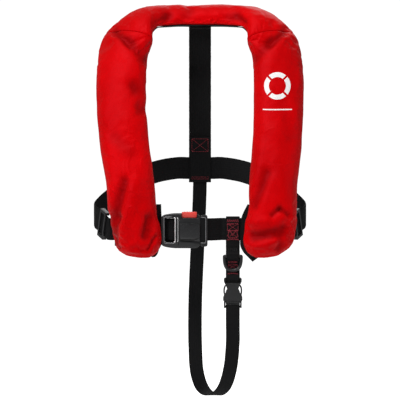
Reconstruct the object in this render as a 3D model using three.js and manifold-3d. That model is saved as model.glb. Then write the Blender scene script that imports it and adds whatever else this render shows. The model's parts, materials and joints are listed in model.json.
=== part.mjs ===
// Inflatable life jacket for a child, folded: a red horseshoe cover, a black webbing harness,
// a push-button chest buckle and a crotch strap with a D-ring and a side-release buckle.
// Millimetres. +X is to the right as seen from in front, +Y towards the wearer's back, +Z up.
// The origin is the middle of the collar's underside, where the jacket hangs on the neck.
import * as THREE from "three";
import { mergeVertices } from "three/addons/utils/BufferGeometryUtils.js";
import Module from "manifold-3d";

const wasm = await Module();
wasm.setup();

// ---------- driving dimensions ----------

const GAP = 0.35; // between pieces that touch
const RUNNING = 0.6; // between pieces that slide

// Cover
const COVER_WALL = 2.5;
const COVER_REACH = 141; // the lobes' widest middle line, from the centre plane
const COVER_DROP = 399; // from the collar's middle down to the lobes' lower ends
const LOBE_WIDTH = 93;
const LOBE_DEPTH = 41;
const COLLAR_WIDTH = 62;
const COLLAR_DEPTH = 34;
const LOBE_FRONT_Y = -183; // the lobes' middle plane at belt height
const PANEL_SEAM = 0.34; // share of each half where the collar panel meets the lobe panel
const LINING = 1.4;
const LINING_SHARE = 1.6; // its width in half widths of the cover
const LINING_GAP = 1.0; // between the cover's rim and the lining, which twist together

// Harness webbing
const BELT_WIDTH = 40;
const BELT_THICK = 1.8;
const BELT_FRONT_Y = -153.5;
const BELT_FRONT_Z = -353;
const BELT_BACK_Y = 40;
const BELT_BACK_Z = -260;
const CROTCH_WIDTH = 25;
const CROTCH_THICK = 1.6;
const CROTCH_X = 58.5; // the crotch strap's front end
const CROTCH_BOTTOM_Z = -661;
const PATCH_HEIGHT = 81;

// Chest buckle
const BUCKLE_WIDTH = 70;
const BUCKLE_HEIGHT = 62;
const BUCKLE_DEPTH = 17;
const BUCKLE_LEFT_X = -69.5;
const BUCKLE_BACK = 2; // its back plate
const BUTTON_WIDTH = 27;
const BUTTON_TRAVEL = 3.5;
const BUTTON_PROUD = 5;
const TONGUE_THICK = 4;
const TONGUE_REACH = 30; // how far the blade goes into the housing
const TONGUE_FRAME = 13;
const BAR_RADIUS = 2;

// Crotch fittings
const RING_WIDTH = 35;
const RING_HEIGHT = 30;
const RING_BAR = 4.6;
const RING_TOP_Z = -401;
const CLIP_TOP_Z = -440;
const CLIP_WIDTH = 32;
const CLIP_DEPTH = 11;
const CLIP_LENGTH = 54;

// Tri-glides at the sides
const GLIDE_LENGTH = 24;
const GLIDE_THICK = 2.4;
const GLIDE_RAIL = 5;

// Inside the lobes
const CYLINDER_RADIUS = 10.5;
const CYLINDER_LENGTH = 82;

// ---------- materials ----------

const finish = (color, roughness, metalness = 0) =>
  new THREE.MeshStandardMaterial({ color, roughness, metalness });
const RED_FABRIC = () => finish(0xd00010, 0.75);
const BLACK_FABRIC = () => finish(0x151515, 0.85);
const WEBBING = () => finish(0x1c1c1c, 0.8);
const BLACK_PLASTIC = () => finish(0x222222, 0.4);
const RED_PLASTIC = () => finish(0xe03a34, 0.4);
const STEEL = () => finish(0xc8c8c8, 0.25, 1);
const BLADDER_FABRIC = () => finish(0xd8d020, 0.6);

// ---------- helpers ----------

const jacket = new THREE.Group();

function add(name, geometry, material) {
  const mesh = new THREE.Mesh(geometry, material);
  mesh.name = name;
  jacket.add(mesh);
  return mesh;
}

// A closed geometry as a manifold-3d solid.
function solid(geometry) {
  const plain = geometry.clone();
  plain.deleteAttribute("normal");
  plain.deleteAttribute("uv");
  const merged = mergeVertices(plain, 1e-4);
  return new wasm.Manifold(
    new wasm.Mesh({
      numProp: 3,
      vertProperties: new Float32Array(merged.attributes.position.array),
      triVerts: new Uint32Array(merged.index.array),
    }),
  );
}

// A manifold-3d solid as a geometry.
function geometryOf(made) {
  const mesh = made.getMesh();
  const places = new Float32Array(mesh.numVert * 3);
  for (let i = 0; i < mesh.numVert; i++) {
    places.set(mesh.vertProperties.subarray(i * mesh.numProp, i * mesh.numProp + 3), i * 3);
  }
  const geometry = new THREE.BufferGeometry();
  geometry.setAttribute("position", new THREE.BufferAttribute(places, 3));
  geometry.setIndex(new THREE.BufferAttribute(new Uint32Array(mesh.triVerts), 1));
  return geometry;
}

// A box between two corners.
function block(low, high) {
  const size = high.map((v, i) => v - low[i]);
  const geometry = new THREE.BoxGeometry(...size);
  geometry.translate(...low.map((v, i) => v + size[i] / 2));
  return geometry;
}

// A rounded rectangle as a Shape, centred on (x, y).
function roundedRectangle(x, y, width, height, radius) {
  const shape = new THREE.Shape();
  const [l, r, b, t] = [x - width / 2, x + width / 2, y - height / 2, y + height / 2];
  shape.moveTo(l + radius, b);
  shape.lineTo(r - radius, b);
  shape.quadraticCurveTo(r, b, r, b + radius);
  shape.lineTo(r, t - radius);
  shape.quadraticCurveTo(r, t, r - radius, t);
  shape.lineTo(l + radius, t);
  shape.quadraticCurveTo(l, t, l, t - radius);
  shape.lineTo(l, b + radius);
  shape.quadraticCurveTo(l, b, l + radius, b);
  return shape;
}

// A plate whose outline is in the XZ plane, from y = front to y = back.
function plate(shape, front, back, curveSegments = 3) {
  const geometry = new THREE.ExtrudeGeometry(shape, {
    depth: back - front,
    bevelEnabled: false,
    curveSegments,
  });
  geometry.rotateX(Math.PI / 2);
  geometry.translate(0, back, 0);
  return geometry;
}

function cylinder(radius, length, sides = 20) {
  return new THREE.CylinderGeometry(radius, radius, length, sides);
}

// Carries a unit extrusion along a frame: the section's x runs across, its y runs out,
// and z from 0 to 1 goes from the path's start to its end.
function sweep(shape, steps, frameAt, curveSegments = 4) {
  const geometry = new THREE.ExtrudeGeometry(shape, {
    depth: 1,
    steps,
    bevelEnabled: false,
    curveSegments,
  });
  const place = geometry.attributes.position;
  const cache = new Map();
  for (let i = 0; i < place.count; i++) {
    const along = Math.round(place.getZ(i) * steps) / steps;
    if (!cache.has(along)) cache.set(along, frameAt(along));
    const frame = cache.get(along);
    const point = frame.at
      .clone()
      .addScaledVector(frame.across, place.getX(i) * frame.width)
      .addScaledVector(frame.out, place.getY(i) * frame.depth);
    place.setXYZ(i, point.x, point.y, point.z);
  }
  return geometry;
}

const RIBBON = new THREE.Shape([
  new THREE.Vector2(-0.5, -0.5),
  new THREE.Vector2(0.5, -0.5),
  new THREE.Vector2(0.5, 0.5),
  new THREE.Vector2(-0.5, 0.5),
]);

// Flat webbing along a curve. Its width stays as near to the given direction as the curve lets it.
function webbing(curve, steps, width, thick, direction) {
  return sweep(RIBBON, steps, (u) => {
    const along = curve.getTangentAt(u);
    const across = direction.clone().addScaledVector(along, -direction.dot(along)).normalize();
    return {
      at: curve.getPointAt(u),
      across,
      out: new THREE.Vector3().crossVectors(along, across),
      width,
      depth: thick,
    };
  });
}

const vector = (x, y, z) => new THREE.Vector3(x, y, z);
const smooth = (points) => new THREE.CatmullRomCurve3(points, false, "centripetal");
const SIDEWAYS = vector(1, 0, 0);
const UPWARDS = vector(0, 0, 1);

// Straight lines joined end to end, with each corner rounded.
function rounded(points, radius) {
  const path = new THREE.CurvePath();
  let from = points[0];
  for (let i = 1; i < points.length - 1; i++) {
    const before = points[i].clone().sub(points[i - 1]).normalize();
    const after = points[i + 1].clone().sub(points[i]).normalize();
    const start = points[i].clone().addScaledVector(before, -radius);
    const end = points[i].clone().addScaledVector(after, radius);
    path.add(new THREE.LineCurve3(from, start));
    path.add(new THREE.QuadraticBezierCurve3(start, points[i], end));
    from = end;
  }
  path.add(new THREE.LineCurve3(from, points[points.length - 1]));
  return path;
}

// The same geometry on the other side of the centre plane.
function mirror(geometry) {
  const flat = geometry.index ? geometry.toNonIndexed() : geometry.clone();
  const place = flat.attributes.position;
  const made = new Float32Array(place.count * 3);
  for (let i = 0; i < place.count; i++) {
    const from = i % 3 === 1 ? i + 1 : i % 3 === 2 ? i - 1 : i;
    made.set([-place.getX(from), place.getY(from), place.getZ(from)], i * 3);
  }
  return new THREE.BufferGeometry().setAttribute("position", new THREE.BufferAttribute(made, 3));
}
const onSide = (geometry, side) => (side < 0 ? mirror(geometry) : geometry);

// ---------- cover ----------

const collarMiddle = COLLAR_DEPTH / 2 + 1;

// The cover's middle line from the collar's centre to the right lobe's lower end, with the width,
// the depth and the outward direction at each station.
const STATIONS = [
  { x: 0, y: 0, drop: 0, width: 0.0, depth: 0.0, out: [0, 0.12, 0.97] },
  { x: 0.34, y: 0, drop: 0.0, width: 0.05, depth: 0.05, out: [0.05, 0.1, 0.97] },
  { x: 0.7, y: 0.09, drop: 0.012, width: 0.4, depth: 0.4, out: [0.25, 0, 0.97] },
  { x: 0.94, y: 0.25, drop: 0.078, width: 0.85, depth: 0.85, out: [0.4, -0.5, 0.78] },
  { x: 1.0, y: 0.45, drop: 0.2, width: 1.0, depth: 1.0, out: [0.25, -0.85, 0.45] },
  { x: 1, y: 0.64, drop: 0.36, width: 1.0, depth: 1.0, out: [0.1, -0.97, 0.25] },
  { x: 0.975, y: 0.81, drop: 0.53, width: 0.97, depth: 1.0, out: [0.04, -0.99, 0.12] },
  { x: 0.925, y: 0.93, drop: 0.69, width: 0.9, depth: 1.0, out: [0, -1, 0.06] },
  { x: 0.9, y: 0.985, drop: 0.85, width: 0.93, depth: 1.0, out: [0, -1, 0] },
  { x: 0.8, y: 1, drop: 1, width: 0.8, depth: 0.9, out: [0, -1, 0] },
];
const middleLine = new THREE.CatmullRomCurve3(
  STATIONS.map(({ x, y, drop }) =>
    vector(x * COVER_REACH, y * LOBE_FRONT_Y, collarMiddle - drop * (COVER_DROP + collarMiddle)),
  ),
);
const sizeLine = new THREE.CatmullRomCurve3(
  STATIONS.map(({ width, depth }) =>
    vector(
      COLLAR_WIDTH + width * (LOBE_WIDTH - COLLAR_WIDTH),
      COLLAR_DEPTH + depth * (LOBE_DEPTH - COLLAR_DEPTH),
      0,
    ),
  ),
);
const outLine = new THREE.CatmullRomCurve3(STATIONS.map(({ out }) => vector(...out)));
const END_SHARE = 0.055; // the share of the middle line over which a lobe's end closes
const END_LEAN = 0.32; // how much the end's outer corner is lifted
const END_LEAN_FROM = 0.84;

// The cover's frame at a signed share of the half: 0 at the collar's centre, 1 at the right lobe's
// end and -1 at the left one's. inset makes the section smaller on every side.
function coverFrame(share, inset = 0) {
  const t = Math.min(1, Math.abs(share));
  const side = share < 0 ? -1 : 1;
  const along = middleLine.getTangent(t);
  const out = outLine.getPoint(t);
  out.addScaledVector(along, -out.dot(along)).normalize();
  const across = new THREE.Vector3().crossVectors(out, along).normalize();
  const size = sizeLine.getPoint(t);
  const past = Math.max(0, (t - (1 - END_SHARE)) / END_SHARE);
  const taper = Math.sqrt(1 - 0.8 * past ** 2.4);
  across.addScaledVector(along, -END_LEAN * THREE.MathUtils.smoothstep(t, END_LEAN_FROM, 1));
  const at = middleLine.getPoint(t);
  for (const v of [at, along, out, across]) v.x *= side;
  return {
    at,
    along: along.multiplyScalar(side),
    out,
    across,
    width: (size.x / 2) * (0.35 + 0.65 * taper) - inset,
    depth: (size.y / 2) * taper - inset,
  };
}

// The cover's section: flat at the back, bulging at the edges, domed in front.
const SECTION = new THREE.Shape();
SECTION.moveTo(-0.78, -1);
SECTION.lineTo(0.78, -1);
SECTION.bezierCurveTo(0.98, -0.9, 1.06, -0.3, 0.96, 0.12);
SECTION.bezierCurveTo(0.86, 0.6, 0.45, 1, 0, 1);
SECTION.bezierCurveTo(-0.45, 1, -0.86, 0.6, -0.96, 0.12);
SECTION.bezierCurveTo(-1.06, -0.3, -0.98, -0.9, -0.78, -1);

// The hollow's section runs on through the flat back.
const HOLLOW = new THREE.Shape();
HOLLOW.moveTo(-0.7, -1.6);
HOLLOW.lineTo(0.7, -1.6);
HOLLOW.lineTo(0.78, -0.9);
HOLLOW.bezierCurveTo(1.02, -0.6, 1.04, -0.3, 0.96, 0.12);
HOLLOW.bezierCurveTo(0.86, 0.6, 0.45, 1, 0, 1);
HOLLOW.bezierCurveTo(-0.45, 1, -0.86, 0.6, -0.96, 0.12);
HOLLOW.bezierCurveTo(-1.04, -0.3, -1.02, -0.6, -0.78, -0.9);

const between = (from, to) => (u) => from + (to - from) * u;

function coverPanel(from, to, steps, hollowFrom, hollowTo) {
  const outer = sweep(SECTION, steps, (u) => coverFrame(between(from, to)(u)), 3);
  const inner = sweep(HOLLOW, steps, (u) => coverFrame(between(hollowFrom, hollowTo)(u), COVER_WALL), 3);
  return geometryOf(solid(outer).subtract(solid(inner)));
}

// The lining lies flat on the back rim of the cover.
function liningPanel(from, to, steps) {
  return sweep(RIBBON, steps, (u) => {
    const frame = coverFrame(between(from, to)(u));
    frame.at.addScaledVector(frame.out, -(frame.depth + LINING_GAP + LINING / 2));
    frame.width *= LINING_SHARE;
    frame.depth = LINING;
    return frame;
  });
}

const SEAM_SHARE = 0.0012; // half the seam's gap, as a share of the middle line
const LOBE_END = 1;
const COLLAR_STEPS = 14;
const LOBE_STEPS = 16;
const HOLLOW_END = 0.972;
add("cover_collar", coverPanel(-PANEL_SEAM, PANEL_SEAM, COLLAR_STEPS, -0.42, 0.42), RED_FABRIC());
add("lining_collar", liningPanel(-PANEL_SEAM, PANEL_SEAM, 14), BLACK_FABRIC());
for (const [name, side] of [["left", -1], ["right", 1]]) {
  const start = PANEL_SEAM + 2 * SEAM_SHARE;
  const panel = side > 0
    ? coverPanel(start, LOBE_END, LOBE_STEPS, 0.28, HOLLOW_END)
    : coverPanel(-LOBE_END, -start, LOBE_STEPS, -HOLLOW_END, -0.28);
  add("cover_" + name, panel, RED_FABRIC());
  add("lining_" + name, onSide(liningPanel(start, LOBE_END, LOBE_STEPS), side), BLACK_FABRIC());
}

// The bladder lies folded inside the cover, thinner where the fittings are.
const BLADDER_GAP = 2;
const BLADDER_THIN_SHARE = 0.58;
const BLADDER_THIN = 0.24;
const OVAL = new THREE.Shape();
OVAL.absellipse(0, 0, 1, 1, 0, 2 * Math.PI);
add(
  "bladder",
  sweep(
    OVAL,
    36,
    (u) => {
      const share = between(-0.93, 0.93)(u);
      const frame = coverFrame(share, COVER_WALL + BLADDER_GAP);
      const thin = THREE.MathUtils.smoothstep(Math.abs(share), BLADDER_THIN_SHARE - 0.12, BLADDER_THIN_SHARE);
      const depth = frame.depth * (1 - thin * (1 - BLADDER_THIN));
      frame.at.addScaledVector(frame.out, (frame.depth - depth) * 0.88);
      frame.depth = depth;
      frame.width *= 0.88 - 0.2 * thin;
      return frame;
    },
    3,
  ),
  BLADDER_FABRIC(),
);

// ---------- harness ----------

// Back of the harness
const strapBackY = BELT_BACK_Y + BELT_THICK + GAP;
const collar = coverFrame(0);
const underCollar = (across) =>
  collar.at
    .clone()
    .addScaledVector(collar.out, -(collar.depth + LINING_GAP + LINING + GAP + BELT_THICK / 2))
    .addScaledVector(collar.across, across);
const backStrap = rounded(
  [
    underCollar(-6),
    underCollar(20),
    vector(0, strapBackY - 3, -75),
    vector(0, strapBackY, BELT_BACK_Z + BELT_WIDTH / 2 + 20),
    vector(0, strapBackY, BELT_BACK_Z - BELT_WIDTH / 2 - 6),
  ],
  5,
);
add("back_strap", webbing(backStrap, 26, BELT_WIDTH, BELT_THICK, SIDEWAYS), WEBBING());

const patchY = BELT_BACK_Y - BELT_THICK - GAP;
const patchTop = BELT_BACK_Z + BELT_WIDTH / 2 + 36;
add(
  "back_patch",
  block(
    [-BELT_WIDTH / 2, patchY - BELT_THICK / 2, patchTop - PATCH_HEIGHT],
    [BELT_WIDTH / 2, patchY + BELT_THICK / 2, patchTop],
  ),
  WEBBING(),
);

// Belt: the back runs round to the tri-glides and the front runs behind the lobes.
const beltCorner = vector(162.6, BELT_FRONT_Y, BELT_FRONT_Z);
const glideWay = vector(0.42, 0.9, 0.3).normalize();
const GLIDE_FROM_CORNER = 25;
const STRAIGHT_PAST_GLIDE = 22;
const CORNER_RADIUS = 3;
const moved = (v, way, distance) => v.clone().addScaledVector(way, distance);
const mirrored = (v, side) => vector(v.x * side, v.y, v.z);
const glideAt = moved(beltCorner, glideWay, GLIDE_FROM_CORNER);
const beltMeet = moved(glideAt, glideWay, STRAIGHT_PAST_GLIDE);


const backHalf = (side) => [
  vector(side * 92, BELT_BACK_Y - 14, BELT_BACK_Z - 10),
  vector(side * 150, BELT_BACK_Y - 58, BELT_BACK_Z - 43),
  vector(side * 187, BELT_BACK_Y - 106, BELT_BACK_Z - 71),
  mirrored(moved(beltMeet, glideWay, 14), side),
  mirrored(beltMeet, side),
];
const beltBack = smooth([
  ...backHalf(-1).reverse(),
  ...[-42, -22, 0, 22, 42].map((x) => vector(x, BELT_BACK_Y, BELT_BACK_Z)),
  ...backHalf(1),
]);
const BELT_STEPS = 128;
const TAIL_STEPS = 16;
const TAIL_START = 93;
const TAIL_GAP = 0.6; // more than GAP, because the belt twists here
add("belt_back", webbing(beltBack, BELT_STEPS, BELT_WIDTH, BELT_THICK, UPWARDS), WEBBING());

// The folded end of the belt lies on its outside, behind the tri-glide.
const tail = sweep(RIBBON, TAIL_STEPS, (u) => {
  const at = (TAIL_START + u * TAIL_STEPS) / BELT_STEPS;
  const way = beltBack.getTangentAt(at);
  const across = UPWARDS.clone().addScaledVector(way, -UPWARDS.dot(way)).normalize();
  const out = new THREE.Vector3().crossVectors(way, across);
  return {
    at: beltBack.getPointAt(at).addScaledVector(out, -(BELT_THICK + TAIL_GAP)),
    across,
    out,
    width: BELT_WIDTH - 3,
    depth: BELT_THICK,
  };
});
for (const [name, side] of [["left", -1], ["right", 1]]) {
  add("belt_tail_" + name, onSide(tail, side), WEBBING());
}

// A tri-glide: two rails, an outer bar at each end and an inner bar in the middle, so that the
// webbing runs straight through between them.
const glideHalf = BELT_WIDTH / 2 + RUNNING;
const glideBar = 4;
const glideNear = BELT_THICK / 2 + RUNNING;
const glideFar = glideNear + GLIDE_THICK;
const rail = (side) =>
  block(
    [-GLIDE_LENGTH / 2, Math.min(side * glideHalf, side * (glideHalf + GLIDE_RAIL)), -glideFar],
    [GLIDE_LENGTH / 2, Math.max(side * glideHalf, side * (glideHalf + GLIDE_RAIL)), glideFar],
  );
const crossBar = (middle, low, high) =>
  block(
    [middle - glideBar / 2, -glideHalf - 1, low],
    [middle + glideBar / 2, glideHalf + 1, high],
  );
const endBar = (GLIDE_LENGTH - glideBar) / 2;
const glideLocal = geometryOf(
  solid(rail(-1))
    .add(solid(rail(1)))
    .add(solid(crossBar(-endBar, glideNear, glideFar)))
    .add(solid(crossBar(endBar, glideNear, glideFar)))
    .add(solid(crossBar(0, -glideFar, -glideNear))),
);
const glideUp = UPWARDS.clone().addScaledVector(glideWay, -UPWARDS.dot(glideWay)).normalize();
const glideOut = new THREE.Vector3().crossVectors(glideWay, glideUp);
const glide = glideLocal.clone();
glide.applyMatrix4(new THREE.Matrix4().makeBasis(glideWay, glideUp, glideOut).setPosition(glideAt));
for (const [name, side] of [["left", -1], ["right", 1]]) {
  add("tri_glide_" + name, onSide(glide, side), BLACK_PLASTIC());
}

// Front belt on the left: through the tri-glide, behind the lobe, round the buckle's steel bar and
// back on itself.
const PLY = BELT_THICK + GAP; // from one layer of belt to the next
const buckleFront = BELT_FRONT_Y - 17.5;
const buckleBackFace = buckleFront + BUCKLE_DEPTH - BUCKLE_BACK - GAP;
const BAR_X = BUCKLE_LEFT_X + 25.8;
const barY = buckleFront + 9.5;
const barRoom = BAR_RADIUS + GAP + BELT_THICK / 2;
const beltEnd = moved(beltMeet, glideWay, -GAP);
const buckleZ = BELT_FRONT_Z - 2;
add(
  "belt_front_left",
  webbing(
    rounded(
      [
        mirrored(beltEnd, -1),
        mirrored(beltCorner, -1),
        vector(BAR_X - 56, BELT_FRONT_Y, BELT_FRONT_Z),
        vector(BAR_X - 24, barY + 2.1, BELT_FRONT_Z),
        vector(BAR_X - 7, barY - barRoom, BELT_FRONT_Z),
        vector(BAR_X + barRoom, barY - barRoom, BELT_FRONT_Z),
        vector(BAR_X + barRoom, barY + barRoom, BELT_FRONT_Z),
        vector(BAR_X - 7, barY + barRoom, BELT_FRONT_Z),
        vector(BAR_X - 24, barY + 2.1 + PLY + 0.6, BELT_FRONT_Z),
        vector(BAR_X - 56, BELT_FRONT_Y + PLY + 0.3, BELT_FRONT_Z),
        vector(BAR_X - 70, BELT_FRONT_Y + PLY + 0.3, BELT_FRONT_Z),
      ],
      CORNER_RADIUS,
    ),
    96,
    BELT_WIDTH,
    BELT_THICK,
    UPWARDS,
  ),
  WEBBING(),
);

// ---------- chest buckle ----------

const buckleRight = BUCKLE_LEFT_X + BUCKLE_WIDTH;
const buckleMiddle = (BUCKLE_LEFT_X + buckleRight) / 2;
const buckleTop = buckleZ + BUCKLE_HEIGHT / 2;
const slotHalf = BELT_WIDTH / 2 + 2.2;
const slotLeft = BUCKLE_LEFT_X + 7;
const slotRight = BAR_X + barRoom + BELT_THICK / 2 + RUNNING;
const bladeY = buckleFront + 8.5;
const BLADE_HALF = 14;
const bladeEnd = buckleRight - TONGUE_REACH;
const buttonMiddle = BUCKLE_LEFT_X + 50.6;
const buttonLow = buckleTop - 8;
const wellLow = buttonLow - 6.4;
const wellFront = buckleFront + 2.7;
const wellBack = buckleFront + 12;
const buttonHalf = BUTTON_WIDTH / 2;
const latchHalf = 10;
const latchLow = wellLow - 13;
const LATCH_THICK = 2.4;

const housing = solid(
  plate(
    roundedRectangle(buckleMiddle, buckleZ, BUCKLE_WIDTH, BUCKLE_HEIGHT, 9),
    buckleFront,
    buckleBackFace,
    4,
  ),
)
  .subtract(
    solid(
      block(
        [slotLeft, buckleFront - 1, BELT_FRONT_Z - slotHalf],
        [slotRight, buckleBackFace + 1, BELT_FRONT_Z + slotHalf],
      ),
    ),
  )
  .subtract(
    solid(
      block(
        [BUCKLE_LEFT_X - 1, buckleFront + 5.5, BELT_FRONT_Z - slotHalf],
        [slotLeft + 1, buckleBackFace + 1, BELT_FRONT_Z + slotHalf],
      ),
    ),
  )
  .subtract(
    solid(
      block(
        [bladeEnd - RUNNING, bladeY - TONGUE_THICK / 2 - RUNNING, buckleZ - BLADE_HALF - RUNNING],
        [buckleRight + 1, bladeY + TONGUE_THICK / 2 + RUNNING, buckleZ + BLADE_HALF + RUNNING],
      ),
    ),
  )
  .subtract(
    solid(
      block(
        [buttonMiddle - buttonHalf - RUNNING, wellFront, wellLow],
        [buttonMiddle + buttonHalf + RUNNING, wellBack, buckleTop + 1],
      ),
    ),
  )
  .subtract(
    solid(
      block(
        [buttonMiddle - buttonHalf - RUNNING, buckleFront - 1, buttonLow],
        [buttonMiddle + buttonHalf + RUNNING, wellFront + 1, buckleTop + 1],
      ),
    ),
  )
  .subtract(
    solid(
      block(
        [buttonMiddle - latchHalf - RUNNING, wellFront, latchLow - BUTTON_TRAVEL - RUNNING],
        [buttonMiddle + latchHalf + RUNNING, bladeY, wellLow + 1],
      ),
    ),
  );
const barHalf = slotHalf + 4;
const barBore = cylinder(BAR_RADIUS + GAP, 2 * (barHalf + GAP), 16);
barBore.rotateX(Math.PI / 2);
barBore.translate(BAR_X, barY, BELT_FRONT_Z);
add("buckle_housing", geometryOf(housing.subtract(solid(barBore))), BLACK_PLASTIC());

const steelBar = cylinder(BAR_RADIUS, 2 * barHalf, 16);
steelBar.rotateX(Math.PI / 2);
steelBar.translate(BAR_X, barY, BELT_FRONT_Z);
add("buckle_bar", steelBar, STEEL());

add(
  "buckle_back_plate",
  plate(
    roundedRectangle((slotRight + 2 + buckleRight) / 2, buckleZ, buckleRight - slotRight - 2, BUCKLE_HEIGHT - 8, 4),
    buckleBackFace + GAP,
    buckleBackFace + GAP + BUCKLE_BACK,
  ),
  BLACK_PLASTIC(),
);

add(
  "buckle_face_plate",
  plate(
    roundedRectangle(buckleRight - 18.5, buckleZ - 0.5, 36, 28, 3),
    buckleFront - GAP - 2,
    buckleFront - GAP,
  ),
  BLACK_PLASTIC(),
);

add(
  "buckle_button",
  block(
    [buttonMiddle - buttonHalf, wellFront + RUNNING, buttonLow],
    [buttonMiddle + buttonHalf, wellBack - RUNNING, buckleTop + BUTTON_PROUD / 2],
  ),
  RED_PLASTIC(),
);

add(
  "buckle_latch",
  block(
    [buttonMiddle - latchHalf, wellFront + RUNNING, latchLow],
    [buttonMiddle + latchHalf, wellFront + RUNNING + LATCH_THICK, buttonLow - GAP],
  ),
  BLACK_PLASTIC(),
);

// The button's return spring
class Coil extends THREE.Curve {
  constructor(radius, turns, height) {
    super();
    Object.assign(this, { radius, turns, height });
  }
  getPoint(t, target = new THREE.Vector3()) {
    const angle = 2 * Math.PI * this.turns * t;
    return target.set(this.radius * Math.cos(angle), this.radius * Math.sin(angle), this.height * t);
  }
}
const WIRE = 0.45;
const wireSection = new THREE.Shape();
wireSection.absellipse(0, 0, WIRE, WIRE, 0, 2 * Math.PI);
const springLow = wellLow + GAP + WIRE;
const springHigh = buttonLow - GAP - WIRE;
const spring = new THREE.ExtrudeGeometry(wireSection, {
  steps: 40,
  curveSegments: 3,
  bevelEnabled: false,
  extrudePath: new Coil(1.9, 3.5, springHigh - springLow),
});
spring.translate(buttonMiddle, bladeY + 0.4, springLow);
add("button_spring", spring, STEEL());

// Tongue: a blade inside the housing and a frame outside it, which holds the belt on a pin behind
// its front lip.
const frameLeft = buckleRight + GAP;
const frameRight = buckleRight + TONGUE_FRAME;
const PIN_RADIUS = 1.8;
const pinX = frameRight - 5;
const pinY = buckleFront + 9.2;
const pinRoom = PIN_RADIUS + GAP + BELT_THICK / 2;
const frameHalf = BUCKLE_HEIGHT / 2 - 3;
const pin = cylinder(PIN_RADIUS, 2 * slotHalf + 2, 12);
pin.rotateX(Math.PI / 2);
pin.translate(pinX, pinY, BELT_FRONT_Z);
const tongueFrame = solid(
  plate(
    roundedRectangle((frameLeft + frameRight) / 2, buckleZ, frameRight - frameLeft, 2 * frameHalf, 4),
    buckleFront + 0.8,
    buckleBackFace - 1,
  ),
).subtract(
  solid(
    block(
      [frameLeft + 3, buckleFront + 3.2, BELT_FRONT_Z - slotHalf],
      [frameRight + 1, buckleBackFace + 1, BELT_FRONT_Z + slotHalf],
    ),
  ),
);
const blade = solid(
  block(
    [bladeEnd, bladeY - TONGUE_THICK / 2, buckleZ - BLADE_HALF],
    [frameLeft + 2, bladeY + TONGUE_THICK / 2, buckleZ + BLADE_HALF],
  ),
).subtract(
  solid(
    block([bladeEnd + 6, bladeY - TONGUE_THICK, buckleZ - 7], [bladeEnd + 14, bladeY + TONGUE_THICK, buckleZ + 7]),
  ),
);
add("buckle_tongue", geometryOf(tongueFrame.add(blade).add(solid(pin))), BLACK_PLASTIC());

// The free stretch of belt between the tongue and the crotch strap's loop
const loopLeft = CROTCH_X - CROTCH_WIDTH / 2;
const FREE_END = loopLeft - 0.8;
add(
  "belt_free",
  webbing(
    rounded(
      [
        vector(FREE_END, BELT_FRONT_Y, BELT_FRONT_Z),
        vector(FREE_END - 6, BELT_FRONT_Y, BELT_FRONT_Z),
        vector(pinX + 4, pinY - pinRoom, BELT_FRONT_Z),
        vector(pinX - pinRoom, pinY - pinRoom, BELT_FRONT_Z),
        vector(pinX - pinRoom, pinY + pinRoom, BELT_FRONT_Z),
        vector(pinX + 4, pinY + pinRoom, BELT_FRONT_Z),
        vector(FREE_END - 6, BELT_FRONT_Y + PLY + 0.5, BELT_FRONT_Z),
        vector(FREE_END - 1, BELT_FRONT_Y + PLY + 0.5, BELT_FRONT_Z),
      ],
      2,
    ),
    48,
    BELT_WIDTH,
    BELT_THICK,
    UPWARDS,
  ),
  WEBBING(),
);
add(
  "belt_front_right",
  webbing(
    rounded([vector(FREE_END + GAP, BELT_FRONT_Y, BELT_FRONT_Z), beltCorner, beltEnd], CORNER_RADIUS),
    24,
    BELT_WIDTH,
    BELT_THICK,
    UPWARDS,
  ),
  WEBBING(),
);

// The cover's hollow at a height: how far back the lining's rear face is.
function liningBack(z) {
  let [low, high] = [0.5, 1];
  for (let i = 0; i < 30; i++) {
    const middle = (low + high) / 2;
    if (middleLine.getPoint(middle).z > z) low = middle;
    else high = middle;
  }
  const frame = coverFrame(low);
  return frame.at.y + frame.depth + LINING_GAP + LINING;
}

// A tunnel on each lobe's lining holds the belt.
const TUNNEL_THICK = 1.2;
const TUNNEL_WIDTH = 34;
const TUNNEL_TAB = 11;
const TUNNEL_X = COVER_REACH * 0.86;
const tunnelY = BELT_FRONT_Y + BELT_THICK / 2 + GAP + TUNNEL_THICK / 2;
const edgeRoom = BELT_WIDTH / 2 + GAP + TUNNEL_THICK + 2;
const onLining = (z) => liningBack(z) + GAP + TUNNEL_THICK / 2 + LINING_GAP + 0.3;
const tunnelPoints = (x) => [
  vector(x, onLining(BELT_FRONT_Z + edgeRoom + TUNNEL_TAB), BELT_FRONT_Z + edgeRoom + TUNNEL_TAB),
  vector(x, onLining(BELT_FRONT_Z + edgeRoom), BELT_FRONT_Z + edgeRoom),
  vector(x, tunnelY, BELT_FRONT_Z + edgeRoom - 1),
  vector(x, tunnelY, BELT_FRONT_Z - edgeRoom + 1),
  vector(x, onLining(BELT_FRONT_Z - edgeRoom), BELT_FRONT_Z - edgeRoom),
  vector(x, onLining(BELT_FRONT_Z - edgeRoom - 6), BELT_FRONT_Z - edgeRoom - 6),
];
const LEFT_TUNNEL_SHIFT = -14; // clear of the belt's returned end
for (const [name, side] of [["left", -1], ["right", 1]]) {
  const x = side * TUNNEL_X + (side < 0 ? LEFT_TUNNEL_SHIFT : 0);
  add(
    "belt_tunnel_" + name,
    webbing(rounded(tunnelPoints(x), 1), 24, TUNNEL_WIDTH, TUNNEL_THICK, SIDEWAYS),
    BLACK_FABRIC(),
  );
}

// ---------- crotch strap and its fittings ----------

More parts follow.
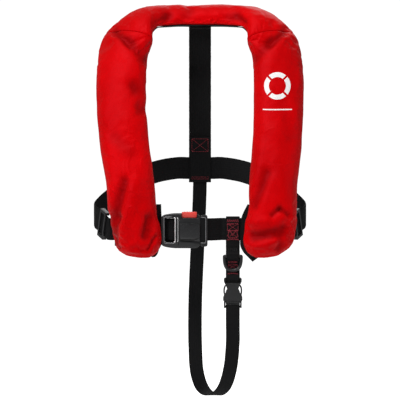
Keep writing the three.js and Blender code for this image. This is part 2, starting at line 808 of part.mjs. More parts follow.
const clothPly = CROTCH_THICK + GAP;
const hangY = BELT_FRONT_Y - 1; // the strap's plane below the belt
const beltRoom = BELT_THICK / 2 + GAP + CROTCH_THICK / 2;
const topOfBelt = BELT_FRONT_Z + BELT_WIDTH / 2;
const underBelt = BELT_FRONT_Z - BELT_WIDTH / 2;
const clipBarHalf = 2;
const clipBarZ = CLIP_TOP_Z - clipBarHalf;
const clipRoom = 2.2 + GAP + CROTCH_THICK / 2;
const clipY = hangY;

// Round the belt, down past the D-ring, round the top bar of the side-release buckle and back up.
add(
  "strap_loop",
  webbing(
    rounded(
      [
        vector(CROTCH_X, hangY + clothPly, underBelt - 26),
        vector(CROTCH_X, hangY + clothPly, underBelt - 6),
        vector(CROTCH_X, BELT_FRONT_Y + beltRoom, underBelt + 2),
        vector(CROTCH_X, BELT_FRONT_Y + beltRoom, topOfBelt + beltRoom),
        vector(CROTCH_X, BELT_FRONT_Y - beltRoom, topOfBelt + beltRoom),
        vector(CROTCH_X, BELT_FRONT_Y - beltRoom, underBelt + 2),
        vector(CROTCH_X, hangY, underBelt - 6),
        vector(CROTCH_X, hangY, CLIP_TOP_Z + 12),
        vector(CROTCH_X, clipY - clipRoom, clipBarZ + 2),
        vector(CROTCH_X, clipY - clipRoom, clipBarZ - clipRoom),
        vector(CROTCH_X, clipY + clipRoom, clipBarZ - clipRoom),
        vector(CROTCH_X, clipY + clipRoom, clipBarZ + 2),
        vector(CROTCH_X, hangY + clothPly + 0.2, CLIP_TOP_Z + 12),
        vector(CROTCH_X, hangY + clothPly + 0.2, CLIP_TOP_Z + 24),
      ],
      1.2,
    ),
    110,
    CROTCH_WIDTH,
    CROTCH_THICK,
    SIDEWAYS,
  ),
  WEBBING(),
);

// D-ring on its straight bar, held by a keeper sewn to the strap
const ringHalf = RING_BAR / 2;
const ringRoom = ringHalf + RUNNING;
const ringY = hangY - CROTCH_THICK / 2 - ringRoom;
const ringShape = (inset) => {
  const shape = new THREE.Shape();
  const [half, top] = [RING_WIDTH / 2 - inset, RING_TOP_Z + ringHalf - inset];
  const low = RING_TOP_Z + ringHalf - RING_HEIGHT + inset;
  const corner = 4 - 0.7 * inset;
  shape.moveTo(CROTCH_X - half + corner, top);
  shape.quadraticCurveTo(CROTCH_X - half, top, CROTCH_X - half, top - corner);
  shape.bezierCurveTo(CROTCH_X - half, low + 4, CROTCH_X - half * 0.62, low, CROTCH_X, low);
  shape.bezierCurveTo(CROTCH_X + half * 0.62, low, CROTCH_X + half, low + 4, CROTCH_X + half, top - corner);
  shape.quadraticCurveTo(CROTCH_X + half, top, CROTCH_X + half - corner, top);
  return shape;
};
const RING_BEVEL = 1.1;
const ringOutline = ringShape(RING_BEVEL);
ringOutline.holes.push(new THREE.Path(ringShape(RING_BAR - RING_BEVEL).getPoints(5)));
const ring = new THREE.ExtrudeGeometry(ringOutline, {
  depth: RING_BAR - 2 * RING_BEVEL,
  bevelThickness: RING_BEVEL,
  bevelSize: RING_BEVEL,
  bevelSegments: 1,
  curveSegments: 5,
});
ring.rotateX(Math.PI / 2);
ring.translate(0, ringY + ringHalf - RING_BEVEL, 0);
add("d_ring", ring, BLACK_PLASTIC());

const sewnY = hangY - CROTCH_THICK / 2 - GAP - CROTCH_THICK / 2;
add(
  "ring_keeper",
  webbing(
    rounded(
      [
        vector(CROTCH_X, sewnY, RING_TOP_Z + 15),
        vector(CROTCH_X, sewnY, RING_TOP_Z + ringRoom + 5.5),
        vector(CROTCH_X, ringY - ringRoom - CROTCH_THICK / 2, RING_TOP_Z + ringRoom + 1.6),
        vector(CROTCH_X, ringY - ringRoom - CROTCH_THICK / 2, RING_TOP_Z - ringRoom - 1.6),
        vector(CROTCH_X, sewnY, RING_TOP_Z - ringRoom - 5.5),
        vector(CROTCH_X, sewnY, RING_TOP_Z - 13.5),
      ],
      1.2,
    ),
    30,
    CROTCH_WIDTH - 3,
    CROTCH_THICK,
    SIDEWAYS,
  ),
  WEBBING(),
);

// Side-release buckle: the socket hangs on the strap loop, and the plug carries the crotch strap.
const clipHalf = CLIP_WIDTH / 2;
const clipFront = clipY - CLIP_DEPTH / 2;
const clipBack = clipY + CLIP_DEPTH / 2;
const webSlot = CROTCH_WIDTH / 2 + RUNNING;
const mouthZ = CLIP_TOP_Z - 41;
const windowTop = CLIP_TOP_Z - 17;
const windowLow = CLIP_TOP_Z - 31;
const CAVITY_HALF = clipHalf - 3;
const socketShape = new THREE.Shape();
socketShape.moveTo(CROTCH_X - clipHalf + 2, CLIP_TOP_Z);
for (const [side, order] of [[-1, 1], [1, -1]]) {
  const outline = [
    [clipHalf, -2],
    [clipHalf, -7],
    [clipHalf - 2, -12],
    [clipHalf - 2, -24],
    [clipHalf, -32],
    [clipHalf, mouthZ - CLIP_TOP_Z],
  ];
  if (order < 0) outline.reverse();
  for (const [x, z] of outline) socketShape.lineTo(CROTCH_X + side * x, CLIP_TOP_Z + z);
}
socketShape.lineTo(CROTCH_X + clipHalf - 2, CLIP_TOP_Z);
const cutBox = (x0, x1, y0, y1, z0, z1) => solid(block([CROTCH_X + x0, y0, z0], [CROTCH_X + x1, y1, z1]));
const barTop = CLIP_TOP_Z - 2 * clipBarHalf;
const CAVITY_DEEP = 3.9;
add(
  "clip_socket",
  geometryOf(
    solid(plate(socketShape, clipFront, clipBack))
      .subtract(cutBox(-webSlot, webSlot, clipFront - 1, clipBack + 1, barTop - 5.5, barTop))
      .subtract(cutBox(-webSlot, webSlot, clipFront - 1, clipY - 2.2, barTop - 1, CLIP_TOP_Z + 1))
      .subtract(cutBox(-webSlot, webSlot, clipY + 2.2, clipBack + 1, barTop - 1, CLIP_TOP_Z + 1))
      .subtract(
        cutBox(-CAVITY_HALF, CAVITY_HALF, clipY - CAVITY_DEEP, clipY + CAVITY_DEEP, mouthZ - 1, windowTop),
      )
      .subtract(cutBox(-clipHalf - 1, -10, clipY - CAVITY_DEEP, clipY + CAVITY_DEEP, windowLow, windowTop))
      .subtract(cutBox(10, clipHalf + 1, clipY - CAVITY_DEEP, clipY + CAVITY_DEEP, windowLow, windowTop)),
  ),
  BLACK_PLASTIC(),
);

const plugTop = mouthZ - GAP;
const plugLow = CLIP_TOP_Z - CLIP_LENGTH;
const ladderLow = plugLow + 4;
const ladderHigh = ladderLow + 5.5;
add(
  "clip_plug",
  geometryOf(
    solid(block([CROTCH_X - clipHalf, clipFront + 0.4, plugLow], [CROTCH_X + clipHalf, clipBack - 0.4, plugTop]))
      .subtract(cutBox(-webSlot, webSlot, clipFront - 1, clipBack + 1, ladderLow, ladderHigh))
      .subtract(cutBox(-webSlot, webSlot, clipFront - 1, clipY - 2, plugLow - 1, ladderLow + 1))
      .subtract(cutBox(-webSlot, webSlot, clipY + 2, clipBack + 1, plugLow - 1, ladderLow + 1))
      .add(cutBox(-2.2, 2.2, clipY - 2.4, clipY + 2.4, plugTop - 1, windowTop - 4)),
  ),
  BLACK_PLASTIC(),
);

const ARM_ROOT = 0.4;
const armInner = 6;
const armOuter = 9.6;
const barbOuter = CAVITY_HALF - GAP;
const armTop = windowTop - 1.5;
for (const [name, side] of [["left", -1], ["right", 1]]) {
  const arm = new THREE.Shape();
  const at = (x, z) => [CROTCH_X + side * x, z];
  arm.moveTo(...at(armInner, plugTop + ARM_ROOT));
  arm.lineTo(...at(armOuter, plugTop + ARM_ROOT));
  arm.lineTo(...at(armOuter, windowLow + 3));
  arm.lineTo(...at(barbOuter, windowLow + 4));
  arm.quadraticCurveTo(...at(barbOuter, armTop - 2), ...at(armInner + 1, armTop));
  arm.lineTo(...at(armInner, armTop - 2));
  add("clip_arm_" + name, plate(arm, clipY - 3, clipY + 3, 4), BLACK_PLASTIC());
}

// The crotch strap: back from the patch, under the seat and up to the plug, round its lower bar.
const plugRoom = 2.4 + GAP + CROTCH_THICK / 2;
const plugStrap = [
  vector(CROTCH_X, clipY - plugRoom, plugLow - 4),
  vector(CROTCH_X, clipY - plugRoom, ladderLow + plugRoom),
  vector(CROTCH_X, clipY + plugRoom, ladderLow + plugRoom),
  vector(CROTCH_X, clipY + plugRoom, plugLow - 26),
];
const crotchRoute = [
  vector(0, BELT_BACK_Y, BELT_BACK_Z - BELT_WIDTH / 2 - 1),
  vector(-1, BELT_BACK_Y, BELT_BACK_Z - 60),
  vector(-4.5, BELT_BACK_Y - 3, -400),
  vector(-8.6, BELT_BACK_Y - 9, -500),
  vector(-8.6, BELT_BACK_Y - 20, -580),
  vector(-5, BELT_BACK_Y - 38, -628),
  vector(6, BELT_BACK_Y - 66, CROTCH_BOTTOM_Z + 7),
  vector(24, BELT_BACK_Y - 99, CROTCH_BOTTOM_Z),
  vector(42, BELT_BACK_Y - 136, CROTCH_BOTTOM_Z + 16),
  vector(54, clipY + 22, CROTCH_BOTTOM_Z + 56),
  vector(CROTCH_X, clipY + 4, CROTCH_BOTTOM_Z + 105),
  vector(CROTCH_X, clipY - plugRoom, plugLow - 30),
];
const crotch = new THREE.CurvePath();
crotch.add(smooth(crotchRoute));
const roundBar = rounded([crotchRoute[crotchRoute.length - 1], ...plugStrap], 1.2);
for (const piece of roundBar.curves) crotch.add(piece);
add("crotch_strap", webbing(crotch, 120, CROTCH_WIDTH, CROTCH_THICK, SIDEWAYS), WEBBING());

// ---------- inside the lobes ----------

// A frame in a lobe: across, out and down the lobe, with its origin on the lobe's middle line.
function lobeFrame(share) {
  const frame = coverFrame(share);
  const down = frame.along.clone().multiplyScalar(share < 0 ? -1 : 1);
  const across = new THREE.Vector3().crossVectors(frame.out, down);
  return new THREE.Matrix4().makeBasis(across, frame.out, down).setPosition(frame.at);
}
const inLobe = (geometry, share) => geometry.clone().applyMatrix4(lobeFrame(share));
const GAS_SHARE = -0.79;
const AIR_SHARE = 0.84;
const FITTING_OUT = -8; // behind the folded bladder
const BODY_HIGH = 26;
const BODY_LOW = 48;
const bodyBlock = block([-16, FITTING_OUT - 10, BODY_HIGH], [16, FITTING_OUT + 9, BODY_LOW]);
add("inflator_body", inLobe(bodyBlock, GAS_SHARE), finish(0x303030, 0.5));
const gas = new THREE.LatheGeometry(
  [[0, 0], [CYLINDER_RADIUS, 0], [CYLINDER_RADIUS, CYLINDER_LENGTH - 22], [5, CYLINDER_LENGTH - 6], [5, CYLINDER_LENGTH], [0, CYLINDER_LENGTH]].map(
    ([r, h]) => new THREE.Vector2(r, h),
  ),
  20,
);
gas.rotateX(Math.PI / 2);
gas.translate(0, FITTING_OUT, BODY_HIGH - GAP - CYLINDER_LENGTH);
add("gas_cylinder", inLobe(gas, GAS_SHARE), finish(0x9aa0a0, 0.35, 0.9));
const cap = cylinder(8.5, 9, 20);
cap.rotateZ(Math.PI / 2);
cap.translate(16 + GAP + 4.5, FITTING_OUT, (BODY_HIGH + BODY_LOW) / 2);
add("cartridge_cap", inLobe(cap, GAS_SHARE), finish(0xe8c020, 0.5));
const LEVER_PIVOT = BODY_HIGH + 3;
const lever = plate(roundedRectangle(0, 0, 5, 18, 2), -2, 2);
lever.rotateX(Math.PI);
lever.translate(-16 - GAP - 3, FITTING_OUT, LEVER_PIVOT + 7);
add("firing_lever", inLobe(lever, GAS_SHARE), RED_PLASTIC());

const LINING_FACE = -(LOBE_DEPTH / 2 + LINING_GAP) + GAP + 0.3;
const TUBE_RADIUS = 5;
const tube = cylinder(TUBE_RADIUS, 70, 16);
tube.rotateX(Math.PI / 2);
tube.translate(10, LINING_FACE + TUBE_RADIUS, -15);
add("oral_tube", inLobe(tube, AIR_SHARE), finish(0x202020, 0.6));
const valveCap = cylinder(TUBE_RADIUS + 0.5, 9, 16);
valveCap.rotateX(Math.PI / 2);
valveCap.translate(10, LINING_FACE + TUBE_RADIUS + 0.5, 20 + GAP + 4.5);
add("oral_cap", inLobe(valveCap, AIR_SHARE), finish(0x303030, 0.5));
const whistle = block([-24, LINING_FACE, -14], [-8, LINING_FACE + 12, 24]);
add("whistle", inLobe(whistle, AIR_SHARE), finish(0xf0a020, 0.4));

export default jacket;
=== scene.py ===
import json
import logging
import math
from dataclasses import dataclass, field
from enum import Enum
from typing import Callable, Optional, Sequence

import bmesh
import bpy
import numpy as np
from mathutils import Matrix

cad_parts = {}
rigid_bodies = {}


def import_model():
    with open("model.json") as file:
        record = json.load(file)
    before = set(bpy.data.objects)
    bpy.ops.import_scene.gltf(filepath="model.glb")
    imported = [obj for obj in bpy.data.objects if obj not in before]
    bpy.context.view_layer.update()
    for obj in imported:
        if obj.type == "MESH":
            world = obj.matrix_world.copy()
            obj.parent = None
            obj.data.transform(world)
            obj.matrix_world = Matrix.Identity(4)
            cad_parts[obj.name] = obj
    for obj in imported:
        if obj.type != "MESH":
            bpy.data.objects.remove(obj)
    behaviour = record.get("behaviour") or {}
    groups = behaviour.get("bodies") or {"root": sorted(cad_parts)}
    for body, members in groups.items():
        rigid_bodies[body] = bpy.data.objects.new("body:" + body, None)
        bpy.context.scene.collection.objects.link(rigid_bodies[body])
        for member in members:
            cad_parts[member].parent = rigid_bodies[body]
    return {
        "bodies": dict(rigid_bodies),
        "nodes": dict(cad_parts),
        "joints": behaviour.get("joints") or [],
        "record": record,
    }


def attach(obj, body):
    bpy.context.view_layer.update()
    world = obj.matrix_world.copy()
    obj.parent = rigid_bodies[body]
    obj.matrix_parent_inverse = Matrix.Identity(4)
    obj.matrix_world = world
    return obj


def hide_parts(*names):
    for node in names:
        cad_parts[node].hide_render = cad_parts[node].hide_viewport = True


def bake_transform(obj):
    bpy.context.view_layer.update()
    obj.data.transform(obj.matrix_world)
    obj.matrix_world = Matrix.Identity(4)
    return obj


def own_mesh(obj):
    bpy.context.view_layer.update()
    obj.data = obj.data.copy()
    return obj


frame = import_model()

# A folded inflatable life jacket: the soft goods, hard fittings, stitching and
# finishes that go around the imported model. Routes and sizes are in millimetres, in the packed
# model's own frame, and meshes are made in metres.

LOG = logging.getLogger("life_jacket")
MM = 0.001
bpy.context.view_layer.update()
BODY = "jacket"
TAPER_SHARE = 0.3  # how much of a tape's length its taper takes

Array = np.ndarray
Material = bpy.types.Material
Node = bpy.types.Node
Piece = bpy.types.Object
Socket = bpy.types.NodeSocket
Tree = bpy.types.NodeTree


# ---------------------------------------------------------------- curves


def unit(v: Array) -> Array:
    """Vectors of length one, along the last axis."""
    return v / np.maximum(np.linalg.norm(v, axis=-1, keepdims=True), 1e-12)


def catmull(points: Array, t: Array) -> Array:
    """A centripetal Catmull-Rom curve through the points.

    Each span is a cubic whose end slopes come from the neighbouring points, with knots spaced by the
    square root of the distance between points.

    Args:
        points: The points, one a row.
        t: Places from 0 at the first point to 1 at the last, evenly shared among the spans.

    Returns:
        The curve's points, one a row.
    """
    p = np.asarray(points, float)
    n = len(p)
    full = np.vstack([2 * p[0] - p[1], p, 2 * p[-1] - p[-2]])
    place = np.clip(t, 0, 1) * (n - 1)
    i = np.minimum(place.astype(int), n - 2)
    w = (place - i)[:, None]
    a, b, c, d = full[i], full[i + 1], full[i + 2], full[i + 3]
    knots = [np.sqrt(np.linalg.norm(q - r, axis=1))[:, None] for q, r in ((b, a), (c, b), (d, c))]
    k1 = np.where(knots[1] < 1e-4, 1.0, knots[1])
    k0 = np.where(knots[0] < 1e-4, k1, knots[0])
    k2 = np.where(knots[2] < 1e-4, k1, knots[2])
    s1 = ((b - a) / k0 - (c - a) / (k0 + k1) + (c - b) / k1) * k1
    s2 = ((c - b) / k1 - (d - b) / (k1 + k2) + (d - c) / k2) * k1
    return b + s1 * w + (-3 * b + 3 * c - 2 * s1 - s2) * w**2 + (2 * b - 2 * c + s1 + s2) * w**3


def rounded(points: Sequence[Sequence[float]], radius: float, per_corner: int = 9) -> Array:
    """Straight lines between points, with each corner a quadratic curve that starts and ends radius from it.

    Args:
        points: The corners.
        radius: How far from a corner its curve starts, in millimetres.
        per_corner: How many points each curve has.

    Returns:
        The line's points, one a row.
    """
    p = np.asarray(points, float)
    start = p[1:-1] + unit(p[:-2] - p[1:-1]) * radius
    end = p[1:-1] + unit(p[2:] - p[1:-1]) * radius
    w = np.linspace(0, 1, per_corner)[None, :, None]
    bends = start[:, None] * (1 - w) ** 2 + 2 * p[1:-1][:, None] * w * (1 - w) + end[:, None] * w**2
    return np.vstack([p[:1], bends.reshape(-1, 3), p[-1:]])


def spaced(line: Array, count: int) -> Array:
    """The line again, as count points evenly spaced along it.

    Args:
        line: The line's points.
        count: How many points to give.

    Returns:
        The new points.
    """
    step = np.linalg.norm(np.diff(line, axis=0), axis=1)
    along = np.concatenate([[0], np.cumsum(step)])
    keep = np.concatenate([[True], step > 1e-9])
    at = np.linspace(0, along[-1], count)
    return np.stack([np.interp(at, along[keep], line[keep][:, k]) for k in range(3)], axis=1)


def travelled(line: Array) -> Array:
    """The way gone along a line up to each of its points, in its own unit."""
    return np.concatenate([[0], np.cumsum(np.linalg.norm(np.diff(line, axis=0), axis=1))])


def length_of(line: Array) -> float:
    """A line's length, in its own unit."""
    return float(np.linalg.norm(np.diff(line, axis=0), axis=1).sum())


# ---------------------------------------------------------------- meshes


def pattern_places(along: Array, across: Array) -> Array:
    """Pattern coordinates in metres, from millimetres along a surface and across it."""
    return np.stack(np.broadcast_arrays(along, across), axis=-1) * MM


def new_piece(name: str, vertices: Array, faces: list, material: Material) -> Piece:
    """A smooth-shaded piece from points in metres.

    Args:
        name: The piece's name.
        vertices: The points, one a row.
        faces: Tuples of point numbers.
        material: Its finish.

    Returns:
        The piece, linked into the scene.
    """
    mesh = bpy.data.meshes.new(name)
    mesh.from_pydata(vertices.tolist(), [], faces)
    mesh.update()
    mesh.polygons.foreach_set("use_smooth", np.ones(len(mesh.polygons), bool))
    mesh.materials.append(material)
    piece = bpy.data.objects.new(name, mesh)
    bpy.context.scene.collection.objects.link(piece)
    return piece


def volume_sign(grid: Array) -> float:
    """The sign of a closed tube's volume: the sum over its quads of point dot normal, seen from its middle.

    Args:
        grid: Rings by points round the ring by 3.

    Returns:
        1 when the faces point outwards, otherwise -1 or 0.
    """
    centred = grid - grid.reshape(-1, 3).mean(0)
    nxt = np.roll(centred, -1, axis=1)
    a, b, c, d = centred[:-1], centred[1:], nxt[1:], nxt[:-1]
    return float(np.sign((np.cross(c - a, d - b) * (a + b + c + d)).sum()))


def tube_piece(
    name: str,
    grid: Array,
    material: Material,
    uv: Optional[Array] = None,
    valley: Optional[Array] = None,
) -> Piece:
    """A closed tube: rings of points carried along a path, with a cap of triangles at each end.

    Args:
        name: The piece's name.
        grid: Points in metres, rings by points round the ring by 3.
        material: Its finish.
        uv: The same grid's two pattern coordinates, in metres, or None.
        valley: How deep in a crease each point of the grid is, from 0 to 1, or None; the material darkens the cloth by
            it as painted shade.

    Returns:
        The piece.
    """
    rings, around = grid.shape[:2]
    if volume_sign(grid) < 0:
        grid = grid[:, ::-1]
        uv = None if uv is None else uv[:, ::-1]
        valley = None if valley is None else valley[:, ::-1]
    number = np.arange(rings * around).reshape(rings, around)
    nxt = np.roll(number, -1, axis=1)
    quads = np.stack([number[:-1], number[1:], nxt[1:], nxt[:-1]], axis=-1).reshape(-1, 4)
    ends = [grid[0].mean(0), grid[-1].mean(0)]
    first, last = rings * around, rings * around + 1
    caps = [(first, int(a), int(b)) for a, b in zip(number[0], nxt[0])]
    caps += [(last, int(b), int(a)) for a, b in zip(number[-1], nxt[-1])]
    vertices = np.vstack([grid.reshape(-1, 3), ends])
    piece = new_piece(name, vertices, [tuple(q) for q in quads.tolist()] + caps, material)
    if uv is not None:
        flat = np.vstack([uv.reshape(-1, 2), uv[0].mean(0), uv[-1].mean(0)])
        layer = piece.data.uv_layers.new(name="UVMap")
        corners = np.empty(len(piece.data.loops), int)
        piece.data.loops.foreach_get("vertex_index", corners)
        layer.data.foreach_set("uv", flat[corners].astype(np.float32).ravel())
    # The crease depth is stored for the material's painted shade in the folds.
    if valley is not None:
        depth = piece.data.attributes.new("valley", "FLOAT", "POINT")
        depth.data.foreach_set("value", np.append(valley.ravel(), [0.0, 0.0]).astype(np.float32))
    return piece


def joined_tubes(name: str, grids: list, material: Material) -> Piece:
    """Many small closed tubes in one piece; each grid is rings by points round the ring by 3, in metres.

    Args:
        name: The piece's name.
        grids: The tubes' grids.
        material: Its finish.

    Returns:
        The piece.
    """
    vertices, faces, base = [], [], 0
    for grid in grids:
        if volume_sign(grid) < 0:
            grid = grid[:, ::-1]
        rings, around = grid.shape[:2]
        number = np.arange(rings * around).reshape(rings, around) + base
        nxt = np.roll(number, -1, axis=1)
        faces += np.stack([number[:-1], number[1:], nxt[1:], nxt[:-1]], axis=-1).reshape(-1, 4).tolist()
        faces += [number[0].tolist(), number[-1][::-1].tolist()]
        vertices.append(grid.reshape(-1, 3))
        base += rings * around
    return new_piece(name, np.vstack(vertices), faces, material)


# ---------------------------------------------------------------- finishes


class Nodes:
    """Short calls for building a node tree."""

    def __init__(self, tree: Tree) -> None:
        """Starts on a tree."""
        self.tree = tree

    def add(self, kind: str, **settings: object) -> Node:
        """A new node with its settings.

        Args:
            kind: The node's type name.
            **settings: Attributes to set.

        Returns:
            The node.
        """
        node = self.tree.nodes.new(kind)
        for key, value in settings.items():
            setattr(node, key, value)
        return node

    def join(self, source: Socket, target: Socket) -> None:
        """Links two sockets."""
        self.tree.links.new(source, target)

    def feed(self, target: Socket, value: object) -> None:
        """Sets a socket from a plain value, or links it from another socket."""
        if isinstance(value, Socket):
            self.join(value, target)
        else:
            target.default_value = value

    def math(self, operation: str, *values: object, clamp: bool = False) -> Socket:
        """One Math node.

        Args:
            operation: The operation's name.
            *values: Numbers or sockets.
            clamp: Whether the result stays within 0 and 1.

        Returns:
            Its output.
        """
        node = self.add("ShaderNodeMath", operation=operation, use_clamp=clamp)
        for socket, value in zip(node.inputs, values):
            self.feed(socket, value)
        return node.outputs[0]

    def mix(self, factor: object, first: object, second: object) -> Socket:
        """A mix of two colours by a factor.

        Args:
            factor: From 0 to 1.
            first: The colour at 0.
            second: The colour at 1.

        Returns:
            The colour's socket.
        """
        node = self.add("ShaderNodeMix", data_type="RGBA")
        self.feed(node.inputs["Factor"], factor)
        self.feed(node.inputs["A"], first)
        self.feed(node.inputs["B"], second)
        return node.outputs["Result"]

    def noise(self, vector: Socket, scale: float, detail: float = 3.0) -> Socket:
        """A noise value at a scale per metre.

        Args:
            vector: The places' socket.
            scale: Waves a metre.
            detail: How many finer layers it has.

        Returns:
            The value's socket.
        """
        node = self.add("ShaderNodeTexNoise")
        node.inputs["Scale"].default_value = scale
        node.inputs["Detail"].default_value = detail
        self.join(vector, node.inputs["Vector"])
        return node.outputs["Fac"]


def grain_group() -> Tree:
    """Fine unevenness for any finish: a height and a colour mask from noises of two sizes.

    Returns:
        The shader group, with inputs Vector, Coarse and Fine, and outputs Height and Mask.
    """
    tree = bpy.data.node_groups.new("surface_grain", "ShaderNodeTree")
    for name, kind in (("Vector", "NodeSocketVector"), ("Coarse", "NodeSocketFloat"), ("Fine", "NodeSocketFloat")):
        tree.interface.new_socket(name, in_out="INPUT", socket_type=kind)
    for name in ("Height", "Mask"):
        tree.interface.new_socket(name, in_out="OUTPUT", socket_type="NodeSocketFloat")
    nodes = Nodes(tree)
    inputs = nodes.add("NodeGroupInput")
    outputs = nodes.add("NodeGroupOutput")
    values = []
    for name in ("Coarse", "Fine"):
        noise = nodes.add("ShaderNodeTexNoise")
        noise.inputs["Detail"].default_value = 4.0
        nodes.join(inputs.outputs["Vector"], noise.inputs["Vector"])
        nodes.join(inputs.outputs[name], noise.inputs["Scale"])
        values.append(noise.outputs["Fac"])
    height = nodes.math("ADD", nodes.math("MULTIPLY", values[0], 0.6), nodes.math("MULTIPLY", values[1], 0.4))
    nodes.join(height, outputs.inputs["Height"])
    nodes.join(values[0], outputs.inputs["Mask"])
    return tree


def weave_group() -> Tree:
    """A plain weave on a piece's own pattern coordinates: threads over and under in two directions.

    The height is the larger of two sine ridges, one along each direction, whose strengths take turns
    from one crossing to the next.

    Returns:
        The shader group, with inputs Vector, Warp and Weft in threads per metre, and output Height.
    """
    tree = bpy.data.node_groups.new("plain_weave", "ShaderNodeTree")
    for name, kind in (("Vector", "NodeSocketVector"), ("Warp", "NodeSocketFloat"), ("Weft", "NodeSocketFloat")):
        tree.interface.new_socket(name, in_out="INPUT", socket_type=kind)
    tree.interface.new_socket("Height", in_out="OUTPUT", socket_type="NodeSocketFloat")
    nodes = Nodes(tree)
    inputs = nodes.add("NodeGroupInput")
    outputs = nodes.add("NodeGroupOutput")
    parts = nodes.add("ShaderNodeSeparateXYZ")
    nodes.join(inputs.outputs["Vector"], parts.inputs[0])
    along = nodes.math("MULTIPLY", nodes.math("MULTIPLY", parts.outputs["X"], inputs.outputs["Warp"]), math.pi)
    across = nodes.math("MULTIPLY", nodes.math("MULTIPLY", parts.outputs["Y"], inputs.outputs["Weft"]), math.pi)
    ridge_a = nodes.math("ABSOLUTE", nodes.math("SINE", along))
    ridge_b = nodes.math("ABSOLUTE", nodes.math("SINE", across))
    turn = nodes.math("MULTIPLY", nodes.math("SINE", along), nodes.math("SINE", across))
    over = nodes.math("MULTIPLY_ADD", turn, 0.35, 0.65)
    under = nodes.math("SUBTRACT", 1.3, over)
    height = nodes.math("MAXIMUM", nodes.math("MULTIPLY", ridge_a, over), nodes.math("MULTIPLY", ridge_b, under))
    nodes.join(height, outputs.inputs["Height"])
    return tree


def wear_group() -> Tree:
    """Paler, smoother edges: a mask from how convex the surface is, broken up by noise.

    Returns:
        The shader group, with inputs Vector and Amount, and output Mask.
    """
    tree = bpy.data.node_groups.new("edge_wear", "ShaderNodeTree")
    tree.interface.new_socket("Vector", in_out="INPUT", socket_type="NodeSocketVector")
    tree.interface.new_socket("Amount", in_out="INPUT", socket_type="NodeSocketFloat")
    tree.interface.new_socket("Mask", in_out="OUTPUT", socket_type="NodeSocketFloat")
    nodes = Nodes(tree)
    inputs = nodes.add("NodeGroupInput")
    outputs = nodes.add("NodeGroupOutput")
    geometry = nodes.add("ShaderNodeNewGeometry")
    edge = nodes.math("MULTIPLY", nodes.math("SUBTRACT", geometry.outputs["Pointiness"], 0.52), 9.0, clamp=True)
    patchy = nodes.math("MULTIPLY_ADD", nodes.noise(inputs.outputs["Vector"], 260.0), 1.6, -0.3, clamp=True)
    mask = nodes.math("MULTIPLY", nodes.math("MULTIPLY", edge, patchy), inputs.outputs["Amount"], clamp=True)
    nodes.join(mask, outputs.inputs["Mask"])
    return tree


GRAIN = grain_group()
WEAVE = weave_group()
WEAR = wear_group()

Colour = tuple[float, float, float]


def rgba(colour: Colour) -> tuple[float, float, float, float]:
    """A colour with full alpha."""
    return (*colour, 1.0)


class Coordinates(Enum):
    """Where a pattern's places come from."""

    SURFACE = "UV"
    SPACE = "Object"


def start_material(name: str) -> tuple[Material, Nodes, Node, Node]:
    """An empty material with its Principled BSDF and texture coordinates.

    Args:
        name: The material's name.

    Returns:
        The material, its node calls, the shader and the coordinates node.
    """
    material = bpy.data.materials.new(name)
    material.use_nodes = True
    material.node_tree.nodes.clear()
    nodes = Nodes(material.node_tree)
    shader = nodes.add("ShaderNodeBsdfPrincipled")
    output = nodes.add("ShaderNodeOutputMaterial")
    nodes.join(shader.outputs[0], output.inputs[0])
    return material, nodes, shader, nodes.add("ShaderNodeTexCoord")


def place_group(nodes: Nodes, tree: Tree, **values: object) -> Node:
    """Places a node group in a material, with its inputs set or linked by name.

    Args:
        nodes: The tree's calls.
        tree: The group.
        values: Values or sockets, by the input's name.

    Returns:
        The group's node.
    """
    node = nodes.add("ShaderNodeGroup")
    node.node_tree = tree
    for key, value in values.items():
        nodes.feed(node.inputs[key], value)
    return node


def bump(nodes: Nodes, height: object, strength: float, distance: float, below: object = None) -> object:
    """A Bump node over another normal.

    Args:
        nodes: The tree's calls.
        height: The height socket.
        strength: From 0 to 1.
        distance: The height's size in metres.
        below: The normal that it is added to, or None.

    Returns:
        The new normal's socket.
    """
    node = nodes.add("ShaderNodeBump")
    node.inputs["Strength"].default_value = strength
    node.inputs["Distance"].default_value = distance
    nodes.feed(node.inputs["Height"], height)
    if below is not None:
        nodes.join(below, node.inputs["Normal"])
    return node.outputs["Normal"]


@dataclass(frozen=True)
class RingPrint:
    """A plain printed ring in four arcs with a thin bar under it, on the right lobe's front. Millimetres."""

    x: float = 138.0
    z: float = -99.0
    radius: float = 19.5
    half_line: float = 4.2
    gap: float = 2.6
    bar_drop: float = 41.0
    bar_half: float = 26.0
    bar_line: float = 1.0
    front: float = -60.0

    def mask(self, nodes: Nodes, place: Socket) -> Socket:
        """1 inside the print and 0 outside it, from how far a point is from the ring's line or the bar.

        Args:
            nodes: The tree's calls.
            place: Object coordinates.

        Returns:
            The mask's socket.
        """
        parts = nodes.add("ShaderNodeSeparateXYZ")
        nodes.join(place, parts.inputs[0])
        x = nodes.math("SUBTRACT", parts.outputs["X"], self.x * MM)
        z = nodes.math("SUBTRACT", parts.outputs["Z"], self.z * MM)
        wide, high = nodes.math("ABSOLUTE", x), nodes.math("ABSOLUTE", z)
        square = nodes.math("ADD", nodes.math("MULTIPLY", x, x), nodes.math("MULTIPLY", z, z))
        far = nodes.math("ABSOLUTE", nodes.math("SUBTRACT", nodes.math("SQRT", square), self.radius * MM))
        ring = nodes.math("LESS_THAN", far, self.half_line * MM)
        diagonal = nodes.math("ABSOLUTE", nodes.math("SUBTRACT", wide, high))
        arcs = nodes.math("MULTIPLY", ring, nodes.math("GREATER_THAN", diagonal, self.gap * MM))
        down = nodes.math("ABSOLUTE", nodes.math("ADD", z, self.bar_drop * MM))
        in_bar = nodes.math("LESS_THAN", down, self.bar_line * MM)
        bar = nodes.math("MULTIPLY", in_bar, nodes.math("LESS_THAN", wide, self.bar_half * MM))
        in_front = nodes.math("LESS_THAN", parts.outputs["Y"], self.front * MM)
        return nodes.math("MULTIPLY", nodes.math("MAXIMUM", arcs, bar), in_front)


